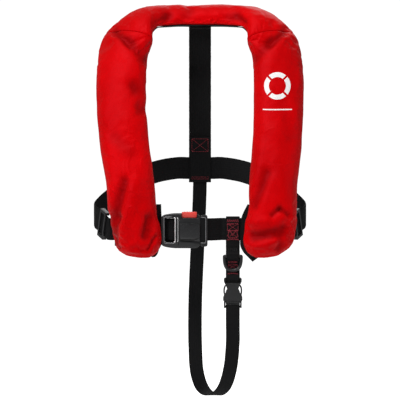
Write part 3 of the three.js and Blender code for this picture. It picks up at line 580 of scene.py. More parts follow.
@dataclass(frozen=True)
class CoatedFabric:
    """Woven nylon with a thin coating, as on the cover and its lining."""

    name: str
    colour: Colour
    shade: Colour
    roughness: float = 0.62
    sheen: float = 0.25
    crinkle: float = 0.35
    crease: float = 1.1
    gloss: float = 0.3
    gloss_tint: Colour = (1.0, 1.0, 1.0)
    emblem: Optional[RingPrint] = None

    def make(self) -> Material:
        """The material: weave and crinkles in relief, a slow change of shade over the cloth, and painted shade that
        darkens the creases' valleys.

        Returns:
            The material.
        """
        material, nodes, shader, coordinates = start_material(self.name)
        surface = coordinates.outputs[Coordinates.SURFACE.value]
        space = coordinates.outputs[Coordinates.SPACE.value]
        grain = place_group(nodes, GRAIN, Vector=space, Coarse=9.0, Fine=140.0)
        weave = place_group(nodes, WEAVE, Vector=surface, Warp=1600.0, Weft=1600.0)
        shade = nodes.math("MULTIPLY_ADD", grain.outputs["Mask"], 2.2, -0.6, clamp=True)
        colour = nodes.mix(shade, rgba(self.shade), rgba(self.colour))
        # Painted shade: the colour moves towards a deep tone where the stored crease depth is high, standing in for
        # the shade in the folds.
        valley = nodes.add("ShaderNodeAttribute", attribute_name="valley")
        deep = tuple(0.3 * c for c in self.shade)
        colour = nodes.mix(nodes.math("MULTIPLY", valley.outputs["Fac"], 0.62), colour, rgba(deep))
        if self.emblem:
            colour = nodes.mix(self.emblem.mask(nodes, space), colour, rgba((0.86, 0.86, 0.86)))
        nodes.join(colour, shader.inputs["Base Color"])
        rough = nodes.math("MULTIPLY_ADD", grain.outputs["Height"], 0.22, self.roughness - 0.11)
        nodes.join(rough, shader.inputs["Roughness"])
        shader.inputs["Sheen Weight"].default_value = self.sheen
        shader.inputs["Sheen Roughness"].default_value = 0.4
        shader.inputs["Sheen Tint"].default_value = rgba(self.colour)
        shader.inputs["Specular IOR Level"].default_value = self.gloss
        shader.inputs["Specular Tint"].default_value = rgba(self.gloss_tint)
        crinkles = nodes.noise(space, 55.0, 5.0)
        relief = bump(nodes, crinkles, self.crinkle, 0.0012)
        creases = nodes.add("ShaderNodeTexNoise")
        creases.inputs["Scale"].default_value = 13.0
        creases.inputs["Detail"].default_value = 2.0
        creases.inputs["Distortion"].default_value = 1.2
        nodes.join(space, creases.inputs["Vector"])
        off_line = nodes.math("ABSOLUTE", nodes.math("SUBTRACT", creases.outputs["Fac"], 0.5))
        line = nodes.math("MULTIPLY_ADD", off_line, -14.0, 1.0, clamp=True)
        patches = nodes.math("MULTIPLY_ADD", nodes.noise(space, 7.0, 1.0), 3.0, -1.1, clamp=True)
        relief = bump(nodes, nodes.math("MULTIPLY", line, patches), 0.5, self.crease * MM, relief)
        relief = bump(nodes, weave.outputs["Height"], 0.35, 0.00012, relief)
        nodes.join(relief, shader.inputs["Normal"])
        return material


@dataclass(frozen=True)
class RibbedWebbing:
    """Black polyester webbing: fine ribs across it, a herringbone along it and a duller edge."""

    name: str
    colour: Colour = (0.0014, 0.0014, 0.0016)
    highlight: Colour = (0.0085, 0.0085, 0.0092)
    width: float = 40.0
    rib_rate: float = 1570.0

    def make(self) -> Material:
        """The material, on the webbing's own pattern coordinates: X along it and Y across it.

        Returns:
            The material.
        """
        material, nodes, shader, coordinates = start_material(self.name)
        surface = coordinates.outputs[Coordinates.SURFACE.value]
        weave = place_group(nodes, WEAVE, Vector=surface, Warp=620.0, Weft=900.0)
        grain = place_group(nodes, GRAIN, Vector=surface, Coarse=24.0, Fine=420.0)
        parts = nodes.add("ShaderNodeSeparateXYZ")
        nodes.join(surface, parts.inputs[0])
        edge = nodes.math("ABSOLUTE", parts.outputs["Y"])
        selvedge = nodes.math("GREATER_THAN", edge, (self.width / 2 - 2.2) * MM)
        wave = nodes.math("SINE", nodes.math("MULTIPLY", parts.outputs["Y"], self.rib_rate))
        stripe = nodes.math("MULTIPLY_ADD", wave, 0.5, 0.5)
        relief_height = nodes.math("MULTIPLY_ADD", stripe, 0.4, weave.outputs["Height"])
        tone = nodes.math("MULTIPLY", relief_height, 0.7, clamp=True)
        tone = nodes.math("MULTIPLY_ADD", grain.outputs["Mask"], 0.3, nodes.math("MULTIPLY", tone, 0.7))
        colour = nodes.mix(tone, rgba(self.colour), rgba(self.highlight))
        colour = nodes.mix(nodes.math("MULTIPLY", selvedge, 0.5), colour, rgba(self.colour))
        nodes.join(colour, shader.inputs["Base Color"])
        rough = nodes.math("MULTIPLY_ADD", grain.outputs["Height"], 0.25, 0.55)
        nodes.join(rough, shader.inputs["Roughness"])
        shader.inputs["Specular IOR Level"].default_value = 0.11
        nodes.join(bump(nodes, relief_height, 0.5, 0.0004), shader.inputs["Normal"])
        return material


@dataclass(frozen=True)
class MouldedPlastic:
    """Injection-moulded plastic with a fine spark-eroded grain and slightly worn edges."""

    name: str
    colour: Colour
    worn: Colour
    roughness: float = 0.38
    wear: float = 0.35
    coat: float = 0.0

    def make(self) -> Material:
        """The material: grain in relief, and a paler tone along the edges.

        Returns:
            The material.
        """
        material, nodes, shader, coordinates = start_material(self.name)
        space = coordinates.outputs[Coordinates.SPACE.value]
        grain = place_group(nodes, GRAIN, Vector=space, Coarse=45.0, Fine=1900.0)
        wear = place_group(nodes, WEAR, Vector=space, Amount=self.wear)
        tone = nodes.mix(nodes.math("MULTIPLY", grain.outputs["Mask"], 0.35), rgba(self.colour), rgba(self.worn))
        nodes.join(nodes.mix(wear.outputs["Mask"], tone, rgba(self.worn)), shader.inputs["Base Color"])
        rough = nodes.math("MULTIPLY_ADD", grain.outputs["Height"], 0.18, self.roughness - 0.09)
        nodes.join(rough, shader.inputs["Roughness"])
        shader.inputs["Coat Weight"].default_value = self.coat
        shader.inputs["Coat Roughness"].default_value = 0.2
        nodes.join(bump(nodes, grain.outputs["Height"], 0.3, 0.00015), shader.inputs["Normal"])
        return material


@dataclass(frozen=True)
class DrawnSteel:
    """Polished or plated steel with fine drawing lines."""

    name: str
    colour: Colour = (0.75, 0.75, 0.76)
    roughness: float = 0.22
    metal: float = 1.0

    def make(self) -> Material:
        """The material: metal whose roughness changes with a fine grain.

        Returns:
            The material.
        """
        material, nodes, shader, coordinates = start_material(self.name)
        space = coordinates.outputs[Coordinates.SPACE.value]
        grain = place_group(nodes, GRAIN, Vector=space, Coarse=90.0, Fine=2400.0)
        darker = tuple(0.7 * c for c in self.colour)
        tone = nodes.mix(grain.outputs["Mask"], rgba(darker), rgba(self.colour))
        nodes.join(tone, shader.inputs["Base Color"])
        shader.inputs["Metallic"].default_value = self.metal
        rough = nodes.math("MULTIPLY_ADD", grain.outputs["Height"], 0.2, self.roughness - 0.1)
        nodes.join(rough, shader.inputs["Roughness"])
        nodes.join(bump(nodes, grain.outputs["Height"], 0.15, 0.0001), shader.inputs["Normal"])
        return material


@dataclass(frozen=True)
class SewingThread:
    """Polyester thread, twisted."""

    name: str
    colour: Colour

    def make(self) -> Material:
        """The material: twist lines in relief.

        Returns:
            The material.
        """
        material, nodes, shader, coordinates = start_material(self.name)
        space = coordinates.outputs[Coordinates.SPACE.value]
        grain = place_group(nodes, GRAIN, Vector=space, Coarse=160.0, Fine=1500.0)
        darker = tuple(0.55 * c for c in self.colour)
        tone = nodes.mix(grain.outputs["Mask"], rgba(darker), rgba(self.colour))
        nodes.join(tone, shader.inputs["Base Color"])
        shader.inputs["Roughness"].default_value = 0.6
        nodes.join(bump(nodes, grain.outputs["Height"], 0.5, 0.0002), shader.inputs["Normal"])
        return material


# ---------------------------------------------------------------- cover


@dataclass(frozen=True)
class Fold:
    """A soft ridge or valley in the cover, seen from in front: a line with a bell-shaped section. Millimetres.

    A height below zero is a valley. Where both ends are the same point it is a round dent.
    """

    x0: float
    z0: float
    x1: float
    z1: float
    width: float
    height: float

    def lift(self, place: Array) -> Array:
        """The height at each place: height times exp of minus the squared distance over the squared width.

        Args:
            place: Points in millimetres, with X, Y and Z last.

        Returns:
            One height for each point, in millimetres.
        """
        p = place[..., [0, 2]]
        a, b = np.array([self.x0, self.z0]), np.array([self.x1, self.z1])
        way = b - a
        share = np.clip(((p - a) @ way) / max(float(way @ way), 1e-9), 0, 1)
        gap = np.linalg.norm(p - a - share[..., None] * way, axis=-1)
        return self.height * np.exp(-((gap / self.width) ** 2))


STATIONS = np.array([
    # x, y, drop, width, depth, out x, out y, out z
    [0.0, 0.0, 0.0, 0.0, 0.0, 0.0, 0.12, 0.97],
    [0.34, 0.0, 0.0, 0.05, 0.05, 0.05, 0.1, 0.97],
    [0.7, 0.09, 0.012, 0.4, 0.4, 0.25, 0.0, 0.97],
    [0.94, 0.25, 0.078, 0.85, 0.85, 0.4, -0.5, 0.78],
    [1.0, 0.45, 0.2, 1.0, 1.0, 0.25, -0.85, 0.45],
    [1.0, 0.64, 0.36, 1.0, 1.0, 0.1, -0.97, 0.25],
    [0.975, 0.81, 0.53, 0.97, 1.0, 0.04, -0.99, 0.12],
    [0.925, 0.93, 0.69, 0.9, 1.0, 0.0, -1.0, 0.06],
    [0.9, 0.985, 0.85, 0.93, 1.0, 0.0, -1.0, 0.0],
    [0.8, 1.0, 1.0, 0.8, 0.9, 0.0, -1.0, 0.0],
])


@dataclass(frozen=True)
class Frame:
    """Places and directions along the cover, one a row: the middle, across, out, along, and half sizes."""

    at: Array
    across: Array
    out: Array
    along: Array
    width: Array
    depth: Array


@dataclass(frozen=True)
class Horseshoe:
    """The cover's middle line from lobe to lobe, over the collar. Millimetres."""

    reach: float = 141.0
    drop: float = 399.0
    front: float = -183.0
    collar_middle: float = 18.0
    collar: tuple[float, float] = (62.0, 34.0)
    lobe: tuple[float, float] = (93.0, 41.0)
    end_share: float = 0.055
    end_lean: float = 0.32
    lean_from: float = 0.84
    hang_in: float = 8.5

    def middle(self, t: Array) -> Array:
        """The right half's middle line, from 0 at the collar's centre to 1 at the lobe's end.

        Args:
            t: How far from the collar's middle to the lobe's end, from 0 to 1.

        Returns:
            The points, in millimetres.
        """
        x, y, drop = STATIONS[:, 0], STATIONS[:, 1], STATIONS[:, 2]
        z = self.collar_middle - drop * (self.drop + self.collar_middle)
        return catmull(np.stack([x * self.reach, y * self.front, z], axis=1), t)

    def frame(self, share: Array) -> Frame:
        """The cover's frame at signed shares: 0 at the collar's centre, 1 and -1 at the lobes' ends.

        Across is out crossed with the middle line's direction, leaned at the lobes' ends, and the half
        sizes shrink there as the root of one minus a power of the way past the start of the end.

        Args:
            share: The signed shares.

        Returns:
            The frame.
        """
        t = np.clip(np.abs(share), 0, 1)
        side = np.where(share < 0, -1.0, 1.0)[:, None]
        step = 1e-4
        along = unit(self.middle(np.clip(t + step, 0, 1)) - self.middle(np.clip(t - step, 0, 1)))
        out = catmull(STATIONS[:, 5:8], t)
        out = unit(out - (out * along).sum(1, keepdims=True) * along)
        across = unit(np.cross(out, along))
        ramp = np.clip((t - self.lean_from) / (1 - self.lean_from), 0, 1)
        lean = self.end_lean * ramp**2 * (3 - 2 * ramp)
        across = across - along * lean[:, None]
        size = np.array(self.collar) + catmull(
            np.stack([STATIONS[:, 3], STATIONS[:, 4], 0 * STATIONS[:, 3]], axis=1), t
        )[:, :2] * (np.array(self.lobe) - np.array(self.collar))
        past = np.clip((t - (1 - self.end_share)) / self.end_share, 0, 1)
        taper = np.sqrt(1 - 0.8 * past**2.4)
        flip = np.concatenate([side, np.ones_like(side), np.ones_like(side)], axis=1)
        hang = np.clip((t - 0.5) / 0.42, 0, 1)
        inward = self.hang_in * hang**2 * (3 - 2 * hang) * (side[:, 0] < 0)
        return Frame(
            at=self.middle(t) * flip + inward[:, None] * [1, 0, 0],
            across=across * flip,
            out=out * flip,
            along=along * flip * side,
            width=size[:, 0] / 2 * (0.35 + 0.65 * taper),
            depth=size[:, 1] / 2 * taper,
        )


def bezier(points: Sequence[Sequence[float]], count: int) -> Array:
    """A cubic curve from four points, without its last point.

    Args:
        points: The four points.
        count: How many points to give.

    Returns:
        The curve's points.
    """
    p = np.asarray(points, float)
    w = np.linspace(0, 1, count, endpoint=False)[:, None]
    return p[0] * (1 - w) ** 3 + 3 * p[1] * w * (1 - w) ** 2 + 3 * p[2] * w**2 * (1 - w) + p[3] * w**3


def cover_section(count: int) -> Array:
    """The cover's section in half sizes: a flat back, bulging edges and a domed front.

    Args:
        count: Points in each of its four curves.

    Returns:
        The section's points in order round it, starting at the back's left corner.
    """
    back = np.stack([np.linspace(-0.78, 0.78, count, endpoint=False), np.full(count, -1.0)], axis=1)
    right = bezier([(0.78, -1), (0.98, -0.9), (1.06, -0.3), (0.96, 0.12)], count)
    dome = bezier([(0.96, 0.12), (0.86, 0.6), (0.45, 1), (0, 1)], count)
    left_dome = bezier([(0, 1), (-0.45, 1), (-0.86, 0.6), (-0.96, 0.12)], count)
    left = bezier([(-0.96, 0.12), (-1.06, -0.3), (-0.98, -0.9), (-0.78, -1)], count)
    return np.vstack([back, right, dome, left_dome, left])


def rumple(place: Array, amount: float) -> Array:
    """Uneven cloth: a sum of seeded sine waves of falling length and height.

    Args:
        place: Points in millimetres.
        amount: The height of the longest waves, in millimetres.

    Returns:
        One height for each point.
    """
    rng = np.random.default_rng(11)
    total = np.zeros(place.shape[:-1])
    for length, height in ((95.0, 1.0), (52.0, 0.7), (27.0, 0.34), (15.0, 0.16)):
        for _ in range(5):
            way = unit(rng.normal(size=3))
            bend = unit(rng.normal(size=3))
            phase = rng.uniform(0, 2 * math.pi, 2)
            wave = 2 * math.pi / length
            warp = 1.6 * np.sin(place @ bend * wave * 0.45 + phase[1])
            total += height * np.sin(place @ way * wave + phase[0] + warp) / 2.2
    return amount * total


@dataclass
class Cover:
    """The red cover: a collar panel and two lobe panels, folded over the bladder, and its black lining."""

    shape: Horseshoe = field(default_factory=Horseshoe)
    seam: float = 0.34
    seam_gap: float = 0.0012
    unevenness: float = 0.7
    corner_cut: float = 13.0
    gusset: float = 10.0
    gusset_at: float = 0.33
    gusset_spread: float = 0.07
    lift_most: float = 4.0
    cut_from: float = 0.9
    lining: float = 1.4
    lining_gap: float = 1.0
    air: float = 2.5
    slack: float = 0.025
    frames: int = 14
    most: float = 2.2
    folds: tuple[Fold, ...] = (
        # shoulders
        Fold(-152, -8, -126, -26, 8.0, -5.0), Fold(-128, -24, -94, -56, 10.0, -4.0),
        Fold(152, -8, 126, -26, 8.0, -5.0), Fold(128, -24, 94, -56, 10.0, -3.6),
        Fold(-61, 8, -56, 20, 9.0, -5.5), Fold(77, 9, 66, 20, 9.0, -5.5),
        Fold(-24, 20, -20, 26, 12.0, -3.0), Fold(54, 10, 50, 18, 10.0, -3.0),
        Fold(-120, 12, -95, 20, 12.0, 2.4), Fold(122, 10, 96, 18, 12.0, 2.4),
        # left lobe
        Fold(-115, -101, -112, -106, 13.0, -5.0), Fold(-104, -137, -101, -142, 11.0, -4.0),
        Fold(-150, -190, -120, -215, 16.0, -2.4), Fold(-133, -266, -153, -330, 12.0, -6.0),
        Fold(-153, -330, -157, -366, 11.0, -5.5), Fold(-118, -270, -138, -356, 13.0, 3.6),
        Fold(-88, -330, -95, -360, 9.5, -6.5), Fold(-160, -366, -146, -383, 4.2, -4.0),
        Fold(-74, -362, -88, -386, 4.5, -3.6), Fold(-120, -366, -104, -388, 6.0, -2.4),
        Fold(-110, -340, -116, -372, 9.0, 2.0),
        # right lobe
        Fold(118, -250, 94, -308, 10.0, -4.2), Fold(128, -324, 142, -313, 5.5, -4.6),
        Fold(142, -313, 158, -324, 5.5, -4.6), Fold(143, -326, 145, -328, 9.0, 2.6),
        Fold(92, -361, 134, -354, 10.0, -7.0), Fold(150, -346, 142, -384, 9.0, -5.0),
        Fold(90, -336, 118, -333, 8.0, 3.0), Fold(98, -380, 150, -366, 7.0, 2.6),
        Fold(148, -130, 160, -190, 14.0, -2.0), Fold(140, -230, 150, -290, 12.0, 1.8),
    )

    def surface(self, share: Array, section: Array, reach: Array) -> tuple[Array, Array]:
        """The cover's outer surface, as rings of the section along the middle line.

        Each point is the middle plus the section's two coordinates times across and out, and then moves
        out along the section's own normal by the folds and the unevenness.

        Args:
            share: One signed share for each ring.
            section: The section's points in half sizes.
            reach: How much of its full size each ring has.

        Returns:
            Rings by points by 3, in millimetres, and how deep in a crease each is, from 0 to 1, which the material
            turns into painted shade.
        """
        frame = self.shape.frame(share)
        scale = reach
        x = section[None, :, 0] * (frame.width * scale)[:, None]
        y = section[None, :, 1] * (frame.depth * scale)[:, None]
        points = frame.at[:, None] + x[..., None] * frame.across[:, None] + y[..., None] * frame.out[:, None]
        slope = np.roll(section, -1, 0) - np.roll(section, 1, 0)
        facing = unit(np.stack([slope[:, 1], -slope[:, 0]], axis=1))
        outward = facing[None, :, :1] * frame.across[:, None] + facing[None, :, 1:] * frame.out[:, None]
        front = np.clip((section[:, 1] + 0.92) / 0.5, 0, 1)[None]
        lift = rumple(points, self.unevenness) * (0.25 + 0.75 * np.clip((section[:, 1] - 0.1) / 0.5, 0, 1))[None]
        creased = sum(fold.lift(points) for fold in self.folds)
        # How deep in a crease each front point lies, from 0 to 1: the mask for the painted shade in the folds.
        valley = np.clip((-creased - 0.8) / 4.2, 0, 1) * front
        lift = lift + creased
        near_seam = np.minimum(np.abs(np.abs(share) - self.seam) / 0.006, 1.0)[:, None]
        lift = lift - 0.7 * (1 - near_seam**2)
        pucker = 0.25 * np.sin(section[None, :, 0] * 46) * np.exp(-((np.abs(share) - self.seam) / 0.02) ** 2)[:, None]
        lift = np.minimum(lift + pucker, self.lift_most)
        end = np.clip((np.abs(share) - self.cut_from) / (1 - self.cut_from), 0, 1)
        cut = self.corner_cut * (end**1.6)[:, None] * np.clip(-section[None, :, 0], 0, 1)
        bell = np.exp(-(((np.abs(share) - self.gusset_at) / self.gusset_spread) ** 2))[:, None]
        cut = cut - self.gusset * bell * np.clip(-section[None, :, 0], 0, 1)
        points = points + frame.across[:, None] * cut[..., None]
        return points + outward * (lift * front * np.minimum(scale, 1)[:, None])[..., None], valley

    def closed(self, share: Array, ends: tuple[bool, bool]) -> tuple[Array, Array]:
        """Rings with extra ones that close a lobe's end as a dome.

        Args:
            share: The rings' shares.
            ends: Whether the first and the last ring are a lobe's end.

        Returns:
            The shares and how much of its full size each ring has.
        """
        reach = np.ones_like(share)
        cap = np.cos(np.linspace(0.15, math.pi / 2, 12)) ** 0.8
        if ends[0]:
            share = np.concatenate([np.full(cap.size, share[0]), share])
            reach = np.concatenate([cap[::-1], reach])
        if ends[1]:
            share = np.concatenate([share, np.full(cap.size, share[-1])])
            reach = np.concatenate([reach, cap])
        return share, reach

    def settle(self, points: Array, section: Array, material: Material) -> Array:
        """Lets the panel settle as loose cloth with a little air in it, held at its seams and along its back.

        Every second point goes into a cloth simulation of a few frames. Each point's move, cut off at
        the most that it may be, is then carried to the full grid as the mean of its neighbours' moves.

        Args:
            points: The panel's grid in millimetres.
            section: The section's points in half sizes.
            material: Its finish.

        Returns:
            The settled grid.
        """
        rows = np.unique(np.append(np.arange(0, len(points), 2), len(points) - 1))
        start = points[rows][:, ::2]
        held = np.broadcast_to(section[::2, 1] < -0.85, start.shape[:2]).copy()
        held[[0, 1, -2, -1]] = True
        turned = volume_sign(start) < 0
        copy = tube_piece("cloth_copy", start * MM, material)
        group = copy.vertex_groups.new(name="held")
        numbers = np.flatnonzero(held[:, ::-1] if turned else held)
        poles = start.shape[0] * start.shape[1]
        group.add(numbers.tolist() + [poles, poles + 1], 1.0, "REPLACE")
        cloth = copy.modifiers.new("cloth", "CLOTH")
        cloth.settings.quality = 6
        cloth.settings.mass = 0.15
        cloth.settings.tension_stiffness = 15.0
        cloth.settings.compression_stiffness = 8.0
        cloth.settings.shear_stiffness = 4.0
        cloth.settings.bending_stiffness = 0.08
        cloth.settings.use_pressure = True
        cloth.settings.uniform_pressure_force = self.air
        cloth.settings.shrink_min = -self.slack
        cloth.settings.vertex_group_mass = "held"
        cloth.settings.effector_weights.gravity = 0.0
        cloth.collision_settings.use_collision = False
        cloth.point_cache.frame_start = 1
        cloth.point_cache.frame_end = self.frames
        scene = bpy.context.scene
        for number in range(1, self.frames + 1):
            scene.frame_set(number)
        mesh = copy.evaluated_get(bpy.context.evaluated_depsgraph_get()).to_mesh()
        flat = np.empty(len(mesh.vertices) * 3)
        mesh.vertices.foreach_get("co", flat)
        settled = flat.reshape(-1, 3)[:-2].reshape(start.shape) / MM
        settled = settled[:, ::-1] if turned else settled
        bpy.data.objects.remove(copy)
        scene.frame_set(1)
        move = settled - start
        size = np.linalg.norm(move, axis=-1, keepdims=True)
        LOG.info("cloth: mean move %.2f mm, most %.2f mm", size.mean(), size.max())
        move = move * np.minimum(1, self.most / np.maximum(size, 1e-6))
        move = np.stack([move, (move + np.roll(move, -1, 1)) / 2], axis=2).reshape(len(rows), -1, 3)
        spot = np.interp(np.arange(len(points)), rows, np.arange(len(rows)))
        low = np.minimum(spot.astype(int), len(rows) - 2)
        part = (spot - low)[:, None, None]
        return points + move[low] * (1 - part) + move[low + 1] * part

    def panel(self, name: str, start: float, end: float, material: Material) -> Piece:
        """One panel of the cover.

        Args:
            name: The piece's name.
            start: Its first share.
            end: Its last share.
            material: Its finish.

        Returns:
            The piece.
        """
        section = cover_section(26)
        count = int(abs(end - start) * 270) + 2
        share = np.linspace(start, end, count)
        share, reach = self.closed(share, (abs(start) == 1, abs(end) == 1))
        points, valley = self.surface(share, section, reach)
        dome = np.sqrt(np.maximum(0, 1 - reach**2)) * 3.2
        points = points + (self.shape.frame(share).along * np.sign(share)[:, None] * dome[:, None])[:, None]
        full = np.flatnonzero(reach == 1)
        points[full] = self.settle(points[full], section, material)
        ring = np.concatenate([[0], np.cumsum(np.linalg.norm(np.diff(points, axis=0), axis=2).mean(1))])
        turn = np.concatenate([[0], np.cumsum(np.linalg.norm(np.diff(section * [46, 20], axis=0), axis=1))])
        uv = pattern_places(ring[:, None], turn[None])
        piece = tube_piece(name, points * MM, material, uv, valley)
        LOG.info("%s: %d faces", name, len(piece.data.polygons))
        return piece

    def lining_panel(self, name: str, start: float, end: float, material: Material) -> Piece:
        """One flat panel of the lining, lying on the cover's back rim, with a thin rounded edge.

        Args:
            name: The piece's name.
            start: Where it starts along the cover.
            end: Where it ends.
            material: Its finish.

        Returns:
            The piece.
        """
        share = np.linspace(start, end, int(abs(end - start) * 220) + 2)
        frame = self.shape.frame(share)
        flat = np.linspace(-1, 1, 26)
        round_edge = np.linspace(-1, 1, 6)[1:-1]
        top = np.stack([flat, np.ones(26)], axis=1)
        right = np.stack([1 + 0.012 * (1 - round_edge**2), -round_edge], axis=1)
        section = np.vstack([top, right, top[::-1] * [1, -1], right[::-1] * [-1, 1]])
        half = frame.width * 0.8
        at = frame.at - frame.out * (frame.depth + self.lining_gap + self.lining / 2)[:, None]
        x = section[None, :, 0] * half[:, None]
        quilt = 0.12 * np.cos(section[None, :, 0] * 9) * np.sin(share[:, None] * 60)
        y = section[None, :, 1] * (self.lining / 2 - 0.15 + quilt * 0.8)
        points = at[:, None] + x[..., None] * frame.across[:, None] + y[..., None] * frame.out[:, None]
        along = travelled(at)
        uv = pattern_places(along[:, None], x)
        return tube_piece(name, points * MM, material, uv)

    def build(self, finishes: "Finishes") -> None:
        """Makes the panels and the lining."""
        start = self.seam + 2 * self.seam_gap
        for name, low, high in (
            ("collar", -self.seam, self.seam),
            ("left", -1.0, -start),
            ("right", start, 1.0),
        ):
            panel = self.panel("red_cover_" + name, low, high, finishes.cover)
            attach(panel, BODY)
            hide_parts("cover_" + name)
            lining = self.lining_panel("black_lining_" + name, low, high, finishes.lining)
            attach(lining, BODY)
            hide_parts("lining_" + name)


# ---------------------------------------------------------------- webbing


def ribbon_frames(line: Array, direction: Array) -> tuple[Array, Array, Array]:
    """Directions along a ribbon: along it, across it as near to the given direction as it can be, and out.

    Args:
        line: The ribbon's middle line.
        direction: The way that its width should run.

    Returns:
        Three sets of unit vectors, one a point.
    """
    along = unit(np.gradient(line, axis=0))
    across = unit(direction - (along @ direction)[:, None] * along)
    return along, across, np.cross(along, across)


def ribbon(
    name: str,
    line: Array,
    width: float,
    thick: float,
    direction: Sequence[float],
    material: Material,
    step: float = 1.6,
    taper: tuple[float, float] = (0.0, 0.0),
) -> Piece:
    """Webbing along a line: a flat section with round edges, whose two edges wander very slightly.

    Args:
        name: The piece's name.
        line: Its middle line, in millimetres.
        width: Its width.
        thick: Its thickness.
        direction: The direction that its width keeps nearest to.
        material: Its finish.
        step: The distance between rings.
        taper: How much narrower its start and its end are, as shares of the width.

    Returns:
        The piece.
    """
    line = spaced(line, max(8, int(length_of(line) / step)))
    _, across, out = ribbon_frames(line, np.asarray(direction, float))
    half, low = width / 2, thick / 2
    flat = np.linspace(-half + low, half - low, 15)
    bend = np.linspace(-math.pi / 2, math.pi / 2, 7)[1:-1]
    upper = np.stack([flat[::-1], np.full(15, low)], axis=1)
    lower = np.stack([flat, np.full(15, -low)], axis=1)
    right = np.stack([half - low + low * np.cos(bend), low * np.sin(bend)], axis=1)
    section = np.vstack([lower, right, upper, right[::-1] * [-1, 1]])
    along = travelled(line)
    wander = 1 - 0.004 * (1 + np.sin(along * 0.21)) - 0.003 * (1 + np.sin(along * 0.83))
    share = along / along[-1]
    first = taper[0] * np.clip(1 - share / TAPER_SHARE, 0, 1)
    last = taper[1] * np.clip(1 - (1 - share) / TAPER_SHARE, 0, 1)
    wander = wander * (1 - first - last)
    x = section[None, :, 0] * wander[:, None]
    crown = 1 - 0.1 * (section[None, :, 0] / half) ** 2
    y = section[None, :, 1] * crown
    points = line[:, None] + x[..., None] * across[:, None] + y[..., None] * out[:, None]
    uv = pattern_places(along[:, None], section[None, :, 0])
    return tube_piece(name, points * MM, material, uv)


def stitches(
    name: str,
    lines: Sequence[Array],
    out: Sequence[float],
    material: Material,
    pitch: float = 3.4,
    radius: float = 0.42,
) -> Piece:
    """Rows of stitches: each is a short thread that rises from the cloth and goes back into it.

    Args:
        name: The piece's name.
        lines: The rows, in millimetres.
        out: The direction away from the cloth.
        material: The thread's finish.
        pitch: From one stitch to the next.
        radius: The thread's radius.

    Returns:
        The piece.
    """
    away = unit(np.asarray(out, float))
    turn = np.linspace(0, 2 * math.pi, 6, endpoint=False)
    bow = np.linspace(0, 1, 6)
    grids = []
    for line in lines:
        count = max(2, int(round(length_of(line) / pitch)) + 1)
        ends = spaced(line, count)
        for a, b in zip(ends[:-1], ends[1:]):
            way = b - a
            centre = a + way * (0.08 + 0.84 * bow[:, None]) + away * (0.55 * np.sin(bow * math.pi) - 0.15)[:, None]
            side = unit(np.cross(way, away))
            size = radius * (0.55 + 0.45 * np.sin(bow * math.pi))[:, None, None]
            ring = np.cos(turn)[None, :, None] * side + np.sin(turn)[None, :, None] * away
            grids.append((centre[:, None] + size * ring) * MM)
    return joined_tubes(name, grids, material)


def box_and_cross(x0: float, x1: float, z0: float, z1: float, y: float) -> list:
    """A stitched box with a cross in it, on the plane at y.

    Args:
        x0: One side.
        x1: The other side.
        z0: The lower edge.
        z1: The upper edge.
        y: The plane's depth.

    Returns:
        The rows' points.
    """
    corner = np.array([[x0, y, z0], [x1, y, z0], [x1, y, z1], [x0, y, z1]])
    rows = [corner[[i, (i + 1) % 4]] for i in range(4)]
    return rows + [corner[[0, 2]], corner[[1, 3]]]


def zigzag(x0: float, x1: float, z0: float, z1: float, y: float, turns: int) -> Array:
    """A zigzag row between two heights, on the plane at y.

    Args:
        x0: Where it starts.
        x1: Where it ends.
        z0: The lower height.
        z1: The upper height.
        y: The plane's depth.
        turns: How many teeth it has.

    Returns:
        The row's points.
    """
    x = np.linspace(x0, x1, turns * 2 + 1)
    z = np.where(np.arange(turns * 2 + 1) % 2 == 0, z0, z1)
    return np.stack([x, np.full_like(x, y), z], axis=1)


